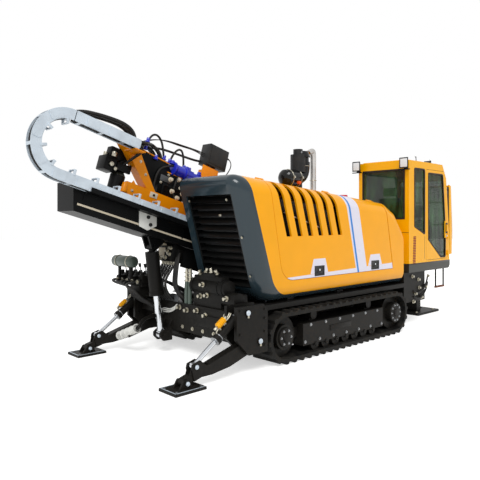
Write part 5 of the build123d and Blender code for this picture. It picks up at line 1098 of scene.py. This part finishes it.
class AddRearGroup(bpy.types.Operator):
    """Add the control valve, pump, accumulator, strainer and hoses at the rear, and the manifold under the beam"""
    bl_idname = "drill.rear_group"
    bl_label = "Rear hydraulics"

    def execute(self, context):
        radius = context.scene.drill_sizes.hose
        count = context.scene.drill_sizes.lever_count
        pitch = VALVE_SPAN / count
        sections, caps, levers, knobs, ports = [], [], [], [], []
        for k in range(count):
            y = VALVE_RIGHT_Y + pitch * k
            sections.append(block(at(-2.13, y + 0.006, 0.842), at(-1.86, y + pitch - 0.006, 0.975),
                                  taper=(0.9, 0.86)))
            sections.append(block(at(-2.155, y + 0.02, 0.86), at(-2.12, y + pitch - 0.02, 0.93)))
            caps.append(facing(at(-2.08, y + pitch / 2, 0.97), (0, 0, 1)))
            caps.append(facing(at(-1.95, y + pitch / 2, 0.97), (0, 0, 1)))
            ports.append(facing(at(-2.155, y + pitch / 2, 0.895), (-1, 0, 0), y))
            levers.append(rod(at(-2.01, y + pitch / 2, 0.96), at(-2.04, y + pitch / 2, 1.10), 0.007, 10))
            knobs.append(rod(at(-2.036, y + pitch / 2, 1.075), at(-2.046, y + pitch / 2, 1.125), 0.015, 14, 0.019))
        sections.append(block(at(-2.14, 0.6, 0.836), at(-1.85, 1.245, 0.856)))
        finish("valve_sections", sections, "frame enamel", bevel=0.006)
        bolt_row("valve_caps", caps, 0.028, 0.05, "frame enamel", bevel=0.003)
        bolt_row("valve_ports", ports, 0.02, 0.035, "fitting", bevel=0.002)
        finish("valve_levers", levers, "steel")
        finish("valve_knobs", knobs, "black plastic", bevel=0.004)
        hoses = []
        for k in range(count):
            y = VALVE_RIGHT_Y + pitch * (k + 0.5)
            hoses.append(hose([at(-2.17, y, 0.895), at(-2.27, y, 0.90), at(-2.29, (y + 0.8) / 2, 0.865),
                               at(-2.24, 0.81 - 0.03 * k, 0.85),
                               at(-2.16, 0.79 - 0.04 * k, 0.70), at(-2.0, 0.77 - 0.05 * k, 0.6),
                               at(-1.87, 0.72 - 0.06 * k, 0.56 - 0.02 * k)], radius))
        for k in range(4):
            y = 0.64 + 0.07 * k
            hoses.append(hose([at(-1.86, y, 0.80), at(-1.80, y, 0.92 + 0.02 * k), at(-1.72, y - 0.15, 0.86),
                               at(-1.64, 0.12 + 0.05 * k, 0.74),
                               at(-1.60, 0.1, 0.66)], radius * 0.8))
        for k in range(5):
            y = -0.12 - 0.13 * k
            hoses.append(hose([at(-1.63, y, 0.66), at(-1.76, y, 0.78 + 0.02 * (k % 2)), at(-1.82, y + 0.07, 0.72),
                               at(-1.80, y + 0.12, 0.655)], radius * 0.9))
        finish("rear_hoses", hoses, "hose rubber")
        wires = [hose([at(-1.87, 0.2 + 0.02 * k, 0.63 - 0.03 * k), at(-1.885, 0.33, 0.52 - 0.01 * k),
                       at(-1.88, 0.46, 0.61 - 0.04 * k),
                       at(-1.885, 0.60, 0.47), at(-1.87, 0.66, 0.42 - 0.02 * k)], 0.007, 3) for k in range(3)]
        finish("rear_pale_lines", wires, "white enamel")
        pipes = [hose([at(-1.84, y, 0.65), at(-1.84, y, 0.75), at(-1.84, y, 0.85), at(-1.83, y, 0.94)], 0.026)
                 for y in (-0.02, 0.05)]
        finish("rear_riser_pipes", pipes, "pipe green")
        fittings = [facing(at(-1.832, y, 0.93 + 0.05 * k), (0.05, 0, 1), y + k) for y in (-0.02, 0.05)
                    for k in range(3)]
        fittings += [facing(at(x, y, z), way, y) for x, y, z, way in
                     ((-1.78, -0.16, 1.03, (-0.3, 0, 1)), (-1.79, -0.28, 1.06, (0, -0.3, 1)),
                      (-1.79, -0.38, 1.06, (0, 0.3, 1)),
                      (-1.79, -0.48, 1.055, (-0.5, 0, 1)), (-1.885, -0.34, 0.93, (-1, 0, 0)),
                      (-1.845, -0.25, 0.78, (-1, 0, 0)),
                      (-1.845, -0.37, 0.80, (-1, 0, 0)), (-1.865, -0.74, 0.80, (-1, 0, 0)))]
        fittings += [facing(at(x, y, z), way, y) for x, y, z, way in
                     ((-1.86, 0.15, 0.60, (-1, 0, 0)), (-1.86, 0.0, 0.58, (-1, 0, 0)),
                      (-1.86, -0.2, 0.60, (-1, 0, 0)),
                      (-1.86, -0.36, 0.56, (-1, 0, 0)), (-1.80, -0.25, 0.652, (0, 0, 1)),
                      (-1.76, -0.45, 0.652, (0, 0, 1)),
                      (-1.80, 0.3, 0.652, (0, 0, 1)), (-1.78, 0.46, 0.652, (0, 0, 1)),
                      (-1.70, -0.6, 0.652, (0, 0, 1)))]
        bolt_row("rear_fittings", fittings, 0.024, 0.06, "fitting", bevel=0.002)
        bolts = [facing(at(-1.861, y, z), (-1, 0, 0), z) for y,
                 z in ((0.742, 0.422), (0.742, 0.342), (-0.7, 0.6), (-0.7, 0.36), (-0.5, 0.36), (-0.3, 0.36),
                       (-0.1, 0.36), (0.1, 0.36))]
        bolt_row("rear_box_bolts", bolts, 0.018, 0.016, "fitting", bevel=0.0015)
        cover = [block(at(-1.95, 0.62, 0.50), at(-1.859, 0.88, 0.66), taper=(0.8, 0.94)),
                 block(at(-1.875, -0.62, 0.42), at(-1.859, -0.16, 0.56))]
        cover += [block(at(-1.875, -0.88, 0.64), at(-1.60, 0.88, 0.658))]
        finish("rear_covers", cover, "frame enamel", bevel=0.005)
        pump = [block(at(-1.85, -0.62, 0.657), at(-1.70, -0.10, 1.03), taper=(0.9, 0.96)),
                rod(at(-1.79, -0.70, 0.90), at(-1.79, -0.06, 0.90), 0.095, 32),
                rod(at(-1.78, -0.86, 0.78), at(-1.78, -0.62, 0.78), 0.085, 32),
                block(at(-1.84, -0.50, 1.02), at(-1.73, -0.24, 1.065), taper=(0.9, 0.9)),
                block(at(-1.84, -0.86, 0.657), at(-1.64, -0.69, 0.84), taper=(0.9, 0.9))]
        finish("rear_pump", pump, "frame enamel", bevel=0.008)
        finish("pump_joint",
               [rod(at(-1.79, y, 0.90), at(-1.79, y + 0.012, 0.90), 0.101, 36) for y in (-0.66, -0.58, -0.12)],
               "boom enamel", bevel=0.002)
        finish("rear_blank_plate", [block(at(-1.876, 0.17, 0.66), at(-1.870, 0.46, 0.752))], "aluminium", bevel=0.002)

        tank = rod(at(-2.2, 0.70, 1.155), at(-2.2, 1.13, 1.155), 0.075, 32)
        bpy.ops.object.mode_set(mode="EDIT")
        for sign in (-1, 1):
            pick(tank, lambda spot, way: way.y * sign > 0.8)
            for inset, out in ((0.012, 0.018), (0.02, 0.010)):
                bpy.ops.mesh.inset(thickness=inset)
                bpy.ops.transform.translate(value=(0, sign * out, 0))
        bpy.ops.object.mode_set(mode="OBJECT")
        finish("rear_accumulator", [tank], "pipe green", bevel=0.003)
        stand = [rod(at(-2.2, 0.76, 0.96), at(-2.2, 0.76, 1.09), 0.028),
                 block(at(-2.23, 0.73, 0.93), at(-2.10, 0.79, 0.965)),
                 block(at(-2.215, 1.02, 0.95), at(-2.185, 1.06, 1.09)),
                 block(at(-2.23, 1.01, 0.93), at(-2.10, 1.07, 0.965))]
        finish("accumulator_stand", stand, "frame enamel", bevel=0.004)
        finish("accumulator_straps", [ring(at(-2.2, y, 1.155), (0, 1, 0), 0.077, 0.006, 32) for y in (0.78, 1.04)],
               "fitting")

        strainer = rod(at(-2.3, 0.87, 0.19), at(-2.3, 0.46, 0.345), 0.052, 28)
        rims = [rod(at(-2.3, 0.87 - 0.41 * f, 0.19 + 0.155 * f),
                    at(-2.3, 0.87 - 0.41 * (f + 0.03), 0.19 + 0.155 * (f + 0.03)), 0.058, 28)
                for f in (0.0, 0.24, 0.48, 0.72, 0.97)]
        finish("strainer", [strainer, *rims], "white enamel", bevel=0.003)
        neck = hose([at(-2.3, 0.46, 0.345), at(-2.29, 0.41, 0.37), at(-2.2, 0.52, 0.44), at(-2.0, 0.58, 0.45),
                     at(-1.87, 0.58, 0.45)], 0.024)
        arm = plate([at(-1.862, 0.60, 0.33), at(-2.33, 0.60, 0.21), at(-2.33, 0.60, 0.25), at(-1.862, 0.60, 0.48)],
                    (0, 0.012, 0))
        finish("strainer_mount", [neck, arm], "frame enamel")

        manifold = [boom_block(1.44, 1.62, 0.24, 0.56, -0.22, -0.004),
                    boom_block(1.50, 1.58, 0.20, 0.24, -0.16, -0.06)]
        finish("boom_manifold", manifold, "frame enamel", "boom", bevel=0.008)
        pads = [boom_block(1.428, 1.441, 0.396, 0.539, -0.17, -0.06),
                boom_block(1.36, 1.441, 0.396, 0.539, -0.03, -0.006)]
        finish("manifold_pads", pads, "cream enamel", "boom", bevel=0.003)
        caps = [facing(on_boom(1.441, y, n), -ALONG, y) for y,
                n in ((0.28, -0.06), (0.28, -0.14), (0.35, -0.19), (0.45, -0.20), (0.53, -0.20), (0.34, -0.1))]
        caps += [facing(on_boom(1.53, y, -0.221), -UPWARD, y) for y in (0.27, 0.33, 0.39, 0.45, 0.51)]
        guard = [boom_block(1.62, 2.30, 0.25, 0.262, -0.26, -0.004),
                 boom_block(1.62, 2.30, 0.262, 0.30, -0.016, -0.004)]
        finish("boom_hose_guard", guard, "boom enamel", "boom", bevel=0.003)
        bolt_row("manifold_fittings", caps, 0.02, 0.045, "fitting", "boom", bevel=0.002)

        # These hoses cross the tilt joint, so they bend between the chassis and the beam
        deselect()
        risers = []
        for k in range(5):
            y = 0.27 + 0.06 * k
            risers.append(hose([on_boom(1.53, y, -0.25), on_boom(1.52, y, -0.31), at(-1.98, y + 0.02, 0.98),
                                at(-2.0, y + 0.03, 0.84),
                                at(-1.93, y, 0.72), at(-1.84, y, 0.66)], radius))
        for k in range(3):
            y = 0.245 - 0.03 * k
            risers.append(hose([on_boom(1.54, 0.215, -0.1), on_boom(1.50, y - 0.02, -0.16), at(-1.92, y - 0.04, 1.0),
                                at(-1.95, y - 0.06, 0.85),
                                at(-1.86, y - 0.08, 0.74), at(-1.78, y - 0.08, 0.655)], radius))
        make_active(*risers)
        bpy.ops.object.join()
        item = bpy.context.object
        item.name = item.data.name = "boom_feed_hoses"
        settle()
        bpy.ops.object.shade_smooth_by_angle(angle=math.radians(35))
        item.data.materials.clear()
        item.data.materials.append(FINISH["hose rubber"])
        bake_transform(item)
        return {"FINISHED"}


class AddStabilisers(bpy.types.Operator):
    """Add the pins, keepers, pipes, lock valves and edges of the two stabilisers"""
    bl_idname = "drill.stabilisers"
    bl_label = "Stabilisers"

    def execute(self, context):
        down = (ROD_PIN - BARREL_PIN).normalized()
        out = Vector((-down.z, 0.0, down.x))
        if out.z < 0:
            out = -out
        for side, y in (("right", -1.0), ("left", 1.0)):
            shift = Vector((0, y, 0))
            pins = []
            for px, pz in ((ARM_PIN.x, ARM_PIN.z), (BARREL_PIN.x, BARREL_PIN.z)):
                pins += [facing(at(px, y + way * 0.112, pz), (0, way, 0)) for way in (-1, 1)]
            finish(f"bracket_pins_{side}", stamp(pin_end(0.03, 0.012), pins), "zinc", bevel=0.0015)
            plates = [block(at(px - 0.012, y + way * 0.114 - 0.006, pz - 0.055),
                            at(px + 0.012, y + way * 0.114 + 0.006, pz - 0.028))
                      for px, pz in ((ARM_PIN.x, ARM_PIN.z), (BARREL_PIN.x, BARREL_PIN.z)) for way in (-1, 1)]
            finish(f"pin_keepers_{side}", plates, "fitting", bevel=0.002)
            tips = [facing(at(FOOT_PIN.x, y + way * 0.078, FOOT_PIN.z), (0, way, 0)) for way in (-1, 1)]
            finish(f"foot_pins_{side}", stamp(pin_end(0.022, 0.016), tips), "zinc", f"stabiliser_foot_{side}",
                   bevel=0.0015)
            tips = [facing(at(ROD_PIN.x, y + way * 0.055, ROD_PIN.z), (0, way, 0)) for way in (-1, 1)]
            finish(f"rod_pins_{side}", stamp(pin_end(0.024, 0.014), tips), "zinc", f"stabiliser_arm_{side}",
                   bevel=0.0015)
            start = at(0, 0, 0) + shift + BARREL_PIN
            gland = [rod(start + down * 0.43, start + down * 0.468, 0.056, 28),
                     rod(start + down * 0.10, start + down * 0.115, 0.0535, 28),
                     rod(start + down * 0.395, start + down * 0.405, 0.0535, 28)]
            finish(f"barrel_rings_{side}", gland, "steel", f"stabiliser_barrel_{side}", bevel=0.002)
            tubes = [hose([start + down * a + out * 0.05, start + down * a + out * 0.072,
                           start + down * (a - 0.04) + out * 0.076,
                           start + down * 0.16 + out * 0.076 + Vector((0, w, 0)),
                           start + down * 0.13 + out * 0.1 + Vector((0, w, 0))], 0.008)
                     for a, w in ((0.40, 0.012), (0.27, -0.012))]
            finish(f"barrel_pipes_{side}", tubes, "fitting", f"stabiliser_barrel_{side}")
            # The left one sits lower, because it swings up below the control valve
            rise, body = (0.105, 0.036) if side == "right" else (0.086, 0.029)
            valve = [rod(start + down * (0.24 + 0.022 * k) + out * rise,
                         start + down * (0.256 + 0.022 * k) + out * rise, body, 20)
                     for k in range(5)]
            valve.append(rod(start + down * 0.235 + out * rise, start + down * 0.355 + out * rise, body - 0.008, 20))
            finish(f"lock_valve_{side}", valve, "cab enamel", f"stabiliser_barrel_{side}", bevel=0.002)
            saddle = [rod(start + down * a + out * 0.045, start + down * a + out * (rise - 0.005), 0.016)
                      for a in (0.25, 0.34)]
            saddle += [rod(start + down * a + out * rise, start + down * (a + w) + out * rise, 0.016, 6) for a,
                       w in ((0.36, 0.04), (0.20, 0.035))]
            finish(f"lock_valve_ports_{side}", saddle, "fitting", f"stabiliser_barrel_{side}", bevel=0.002)
            low = at(FOOT_PIN.x - 0.185, y - 0.135, 0.0285)
            edges = [block(low, low + Vector((0.37, 0.01, 0.003))), block(low, low + Vector((0.01, 0.27, 0.003))),
                     block(low + Vector((0, 0.26, 0)), low + Vector((0.37, 0.27, 0.003)))]
            finish(f"foot_edges_{side}", edges, "zinc", f"stabiliser_foot_{side}")
            studs = [facing(at(FOOT_PIN.x + dx, y + dy, 0.028), (0, 0, 1), dx) for dx in (-0.15, 0.15)
                     for dy in (-0.10, 0.10)]
            bolt_row(f"foot_studs_{side}", studs, 0.012, 0.01, "steel", f"stabiliser_foot_{side}")
            bolts = [facing(at(x, y + way * 0.1, z), (0, way, 0), x) for way in (-1, 1) for x, z in
                     ((-1.62, 0.70), (-1.62, 0.60), (-1.62, 0.30), (-1.62, 0.45), (-2.0, 0.72), (-2.0, 0.46))]
            bolt_row(f"bracket_bolts_{side}", bolts, 0.014, 0.012, "frame enamel", bevel=0.001)
        return {"FINISHED"}


class AddTrackParts(bpy.types.Operator):
    """Add the bolts, hub caps, roller ends and guards of the two track frames"""
    bl_idname = "drill.track_parts"
    bl_label = "Track parts"

    def execute(self, context):
        for side, middle in (("right", -0.89), ("left", 0.89)):
            way = -1 if side == "right" else 1
            face = middle + way * 0.17
            rollers = [facing(at(ROLLER_PITCH * (k - 3), face + way * 0.001, ROLLER_Z), (0, way, 0))
                       for k in range(7)]
            finish(f"roller_ends_{side}", stamp(pin_end(0.03, 0.012), rollers), "frame enamel", bevel=0.002)
            bolts = [facing(at(0.287 * (k - 3), face, 0.20), (0, way, 0), k) for k in range(7)]
            bolts += [facing(at(x, face, 0.40), (0, way, 0), x) for x in (-0.75, -0.45, -0.15, 0.15, 0.45, 0.75)]
            bolt_row(f"track_frame_bolts_{side}", bolts, 0.015, 0.012, "steel", bevel=0.001)
            for name, x, spread in (("drive", WHEEL_X, 0.115), ("idler", -WHEEL_X, 0.085)):
                count = 10 if name == "drive" else 6
                hub = [rod(at(x, face, WHEEL_Z), at(x, face + way * 0.022, WHEEL_Z), spread + 0.035, 40,
                           spread + 0.028),
                       rod(at(x, face + way * 0.02, WHEEL_Z), at(x, face + way * 0.036, WHEEL_Z), 0.06, 32, 0.05)]
                finish(f"{name}_hub_{side}", hub, "frame enamel", bevel=0.003)
                heads = [facing(at(x + spread * math.cos(2 * math.pi * k / count), face + way * 0.02,
                                   WHEEL_Z + spread * math.sin(2 * math.pi * k / count)),
                                (0, way, 0), k) for k in range(count)]
                bolt_row(f"{name}_hub_bolts_{side}", heads, 0.011, 0.012, "steel", bevel=0.001)
            cover = [block(at(-0.36, min(face, face + way * 0.008), 0.27),
                           at(0.10, max(face, face + way * 0.008), 0.34))]
            finish(f"tension_cover_{side}", cover, "frame enamel", bevel=0.004)
        return {"FINISHED"}


class AddAnchorParts(bpy.types.Operator):
    """Add the guide rails, hoses, feed cylinders and bolts of the front anchors"""
    bl_idname = "drill.anchor_parts"
    bl_label = "Anchor parts"

    def execute(self, context):
        for side, y in (("right", -0.22), ("left", 1.02)):
            rails = [block(at(3.325, y + w - 0.009, 0.06), at(3.337, y + w + 0.009, 0.85)) for w in (-0.05, 0.05)]
            finish(f"mast_rails_{side}", rails, "steel", "anchor_base", bevel=0.002)
            feed = [rod(at(FEED_X, y, 0.10), at(FEED_X, y, 0.62), 0.026, 24),
                    rod(at(FEED_X, y, 0.62), at(FEED_X, y, 0.635), 0.03, 24)]
            finish(f"feed_cylinder_{side}", feed, "frame enamel", "anchor_base", bevel=0.002)
            finish(f"feed_rod_{side}", [rod(at(FEED_X, y, 0.63), at(FEED_X, y, 0.84), 0.013, 20)], "chrome",
                   "anchor_base")
            caps = [rod(at(AUGER_X, y, 0.84), at(AUGER_X, y, 0.862), 0.07, 32, 0.06),
                    rod(at(AUGER_X, y, 0.70), at(AUGER_X, y, 0.712), 0.0885, 36)]
            finish(f"auger_drive_cap_{side}", caps, "motor enamel", f"auger_drive_{side}", bevel=0.003)
            ports = [facing(at(AUGER_X + dx, y, 0.86), (0, 0, 1)) for dx in (-0.03, 0.03)]
            bolt_row(f"auger_drive_ports_{side}", ports, 0.016, 0.03, "fitting", f"auger_drive_{side}", bevel=0.001)
            bolts = [facing(at(x, y + dy, 0.04), (0, 0, 1), dy) for x in (2.90, 3.50) for dy in (-0.3, 0.3)]
            bolt_row(f"anchor_bolts_{side}", bolts, 0.02, 0.018, "fitting", "anchor_base", bevel=0.0015)
            lines = [hose([at(3.06, y * 0.2 + 0.32 + 0.03 * k, 0.23), at(3.06, y * 0.5 + 0.2, 0.30 + 0.02 * k),
                           at(3.10, y * 0.9, 0.27), at(3.18, y - 0.02, 0.4),
                           at(3.22, y + 0.03 * k, 0.66), at(3.235, y + 0.03 * k, 0.72)], 0.011) for k in range(2)]
            finish(f"anchor_hoses_{side}", lines, "hose rubber", "anchor_base")
            blocks = [block(at(3.21, y - 0.03, 0.70), at(3.26, y + 0.06, 0.75))]
            finish(f"anchor_port_block_{side}", blocks, "frame enamel", "anchor_base", bevel=0.003)
        bar = [block(at(3.0, -0.20, 0.225), at(3.16, 1.0, 0.24)), block(at(2.99, -0.20, 0.05), at(3.012, 1.0, 0.10))]
        finish("anchor_beam_edges", bar, "boom enamel", "anchor_base", bevel=0.003)
        return {"FINISHED"}


class AddCabInterior(bpy.types.Operator):
    """Add the padded seat, its headrest, the levers, the screen and the pedals in the cab"""
    bl_idname = "drill.cab_interior"
    bl_label = "Cab interior"

    def fill(self, name, pad, swell):
        """Swells a start shape as stuffed cloth, presses two sewn channels into it and caps how far it moves."""
        make_active(pad)
        settle()
        skin_mesh = pad.modifiers.new("voxels", "REMESH")
        skin_mesh.mode = "VOXEL"
        skin_mesh.voxel_size = 0.008
        bpy.ops.object.modifier_apply(modifier="voxels")
        start = [v.co.copy() for v in pad.data.vertices]
        cloth = pad.modifiers.new("fill", "CLOTH")
        cloth.settings.use_pressure = True
        cloth.settings.uniform_pressure_force = 4.0
        cloth.settings.effector_weights.gravity = 0.0
        cloth.collision_settings.use_collision = False
        for step in range(1, 21):
            bpy.context.scene.frame_set(step)
        bpy.ops.object.modifier_apply(modifier="fill")
        bpy.context.scene.frame_set(1)
        for vert, before in zip(pad.data.vertices, start):
            move = vert.co - before
            if move.length > swell:
                vert.co = before + move * (swell / move.length)
            for line in (-0.13, 0.13):
                gap = abs(vert.co.y - (MIDDLE.y + SEAT_Y + line))
                if gap < 0.03:
                    vert.co -= vert.normal * 0.007 * (1 - gap / 0.03) ** 2
        smooth = pad.modifiers.new("smooth", "SUBSURF")
        smooth.levels = smooth.render_levels = 1
        bpy.ops.object.modifier_apply(modifier="smooth")
        bpy.ops.object.shade_smooth()
        pad.name = pad.data.name = name
        pad.data.materials.clear()
        pad.data.materials.append(FINISH["seat cloth"])
        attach(pad, "chassis")
        return pad

    def execute(self, context):
        def rounded(made, width):
            make_active(made)
            edge = made.modifiers.new("edge", "BEVEL")
            edge.width = width
            edge.segments = 4
            bpy.ops.object.modifier_apply(modifier="edge")
            return made

        y = SEAT_Y
        base = rounded(block(at(2.035, y - 0.228, 1.392), at(2.488, y + 0.228, 1.478)), 0.035)
        back = rounded(plate([at(2.05, y - 0.215, 1.495), at(2.125, y - 0.215, 1.495), at(2.052, y - 0.2, 2.065),
                              at(1.978, y - 0.2, 2.065)],
                             (0, 0.43, 0)), 0.03)
        head = rounded(block(at(1.955, y - 0.13, 2.09), at(2.02, y + 0.13, 2.235)), 0.028)
        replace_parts(self.fill("seat_cushion", base, 0.012), "seat")
        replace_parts(self.fill("seat_back", back, 0.012), "seat")
        self.fill("seat_headrest", head, 0.010)
        stalks = [rod(at(1.985, y + w, 2.03), at(1.985, y + w, 2.12), 0.007) for w in (-0.06, 0.06)]
        finish("headrest_stalks", stalks, "chrome")
        arms = [block(at(2.08, y + w - 0.03, 1.66), at(2.36, y + w + 0.03, 1.70), taper=(0.94, 0.8))
                for w in (-0.29, 0.29)]
        finish("armrests", arms, "black plastic", bevel=0.012)
        shell = [plate([at(2.02, y - 0.2, 1.49), at(2.045, y - 0.2, 1.49), at(1.972, y - 0.19, 2.06),
                        at(1.95, y - 0.19, 2.06)], (0, 0.38, 0))]
        finish("seat_shell", shell, "black plastic", bevel=0.006)
        sticks = [hose([at(2.5, y + w, 1.64), at(2.5, y + w, 1.70), at(2.51, y + w, 1.77)], 0.009)
                  for w in (-0.31, 0.31)]
        sticks += [rod(at(2.5, y + w, 1.64), at(2.5, y + w, 1.675), 0.035, 20, 0.016) for w in (-0.31, 0.31)]
        sticks += [rod(at(2.508, y + w, 1.755), at(2.516, y + w, 1.85), 0.018, 18, 0.026) for w in (-0.31, 0.31)]
        finish("joysticks", sticks, "black plastic", bevel=0.003)
        monitor = block(at(2.93, y - 0.15, 1.74), at(2.975, y + 0.15, 1.95), 0.18)
        dish(monitor, lambda spot, way: way.x < -0.8, 0.014, (0.006, 0, 0))
        finish("monitor", [monitor, rod(at(2.97, y, 1.69), at(2.96, y, 1.80), 0.016)], "gloss plastic", bevel=0.004)
        keys = [facing(at(2.30 + 0.045 * k, y + w, 1.64), (0, 0, 1)) for k in range(4) for w in (-0.31, 0.31)]
        bolt_row("console_keys", keys, 0.010, 0.014, "red plastic", bevel=0.001)
        pedals = [block(at(2.80, y + w - 0.04, 1.05), at(2.90, y + w + 0.04, 1.062), -0.5) for w in (-0.12, 0.12)]
        finish("pedals", pedals, "steel", bevel=0.003)
        return {"FINISHED"}


class AddStage(bpy.types.Operator):
    """Add the floor, the light and the camera"""
    bl_idname = "drill.stage"
    bl_label = "Stage"

    def execute(self, context):
        scene = context.scene
        deselect()
        bpy.ops.mesh.primitive_plane_add(size=80, location=(MIDDLE.x, MIDDLE.y, -0.002))
        floor = bpy.context.object
        floor.name = "floor"
        material = bpy.data.materials.new("pale studio floor")
        material.use_nodes = True
        tree = material.node_tree
        tree.nodes.clear()
        cloth = add_node(tree, "ShaderNodeBsdfDiffuse", {"Color": linear("#F4F4F2")})
        glow = add_node(tree, "ShaderNodeEmission", {"Color": (1, 1, 1, 1), "Strength": FLOOR_GLOW})
        dark = add_node(tree, "ShaderNodeEmission", {"Strength": 0.0})
        chosen = add_node(tree, "ShaderNodeMixShader",
                          links={0: seen_directly(tree), 1: dark.outputs[0], 2: glow.outputs[0]})
        both = add_node(tree, "ShaderNodeAddShader", links={0: cloth.outputs[0], 1: chosen.outputs[0]})
        add_node(tree, "ShaderNodeOutputMaterial", links={"Surface": both.outputs[0]})
        floor.data.materials.append(material)

        world = bpy.data.worlds.new("studio")
        scene.world = world
        world.use_nodes = True
        tree = world.node_tree
        tree.nodes.clear()
        fill = add_node(tree, "ShaderNodeBackground", {"Color": (1, 1, 1, 1), "Strength": WORLD_FILL})
        view = add_node(tree, "ShaderNodeBackground", {"Color": (1, 1, 1, 1), "Strength": 1.0})
        chosen = add_node(tree, "ShaderNodeMixShader",
                          links={0: seen_directly(tree), 1: fill.outputs[0], 2: view.outputs[0]})
        add_node(tree, "ShaderNodeOutputWorld", links={"Surface": chosen.outputs[0]})

        deselect()
        bpy.ops.object.light_add(type="SUN", location=(0, 0, 8),
                                 rotation=(math.radians(38), math.radians(-22), math.radians(-20)))
        key = bpy.context.object
        key.data.energy = SUN_ENERGY
        key.data.angle = math.radians(25)
        deselect()
        bpy.ops.object.camera_add(location=at(*CAMERA_SPOT),
                                  rotation=(math.radians(90), 0, math.atan2(*CAMERA_HEADING)))
        camera = bpy.context.object
        camera.data.lens = CAMERA_LENS
        camera.data.sensor_width = 36
        camera.data.shift_y = CAMERA_SHIFT
        camera.data.clip_end = 200
        scene.camera = camera
        scene.view_settings.view_transform = "Standard"
        return {"FINISHED"}


class DRILL_PT_panel(bpy.types.Panel):
    """The operators, the colours and the sizes"""
    bl_label = "Directional drill"
    bl_idname = "DRILL_PT_panel"
    bl_space_type = "VIEW_3D"
    bl_region_type = "UI"
    bl_category = "Drill"

    def draw(self, context):
        for operator in OPERATORS:
            self.layout.operator(operator.bl_idname)
        for settings in (context.scene.drill_colours, context.scene.drill_sizes):
            for name in settings.__annotations__:
                self.layout.prop(settings, name)


OPERATORS = [AddStage, PaintFrame, AddHoodStripes, AddIntake, AddSurround, AddCabTrim, AddDragChain,
             AddCarriage, AddBeam, AddRearGroup, AddStabilisers, AddTrackParts, AddAnchorParts, AddCabInterior]
CLASSES = [DrillColours, DrillSizes, *OPERATORS, DRILL_PT_panel]


def register():
    for item in CLASSES:
        bpy.utils.register_class(item)
    bpy.types.Scene.drill_colours = PointerProperty(type=DrillColours)
    bpy.types.Scene.drill_sizes = PointerProperty(type=DrillSizes)


def unregister():
    del bpy.types.Scene.drill_sizes
    del bpy.types.Scene.drill_colours
    for item in reversed(CLASSES):
        bpy.utils.unregister_class(item)


def main():
    register()
    for operator in OPERATORS:
        group, name = operator.bl_idname.split(".")
        getattr(getattr(bpy.ops, group), name)()
    deselect()
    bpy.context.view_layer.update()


if __name__ == "__main__":
    main()
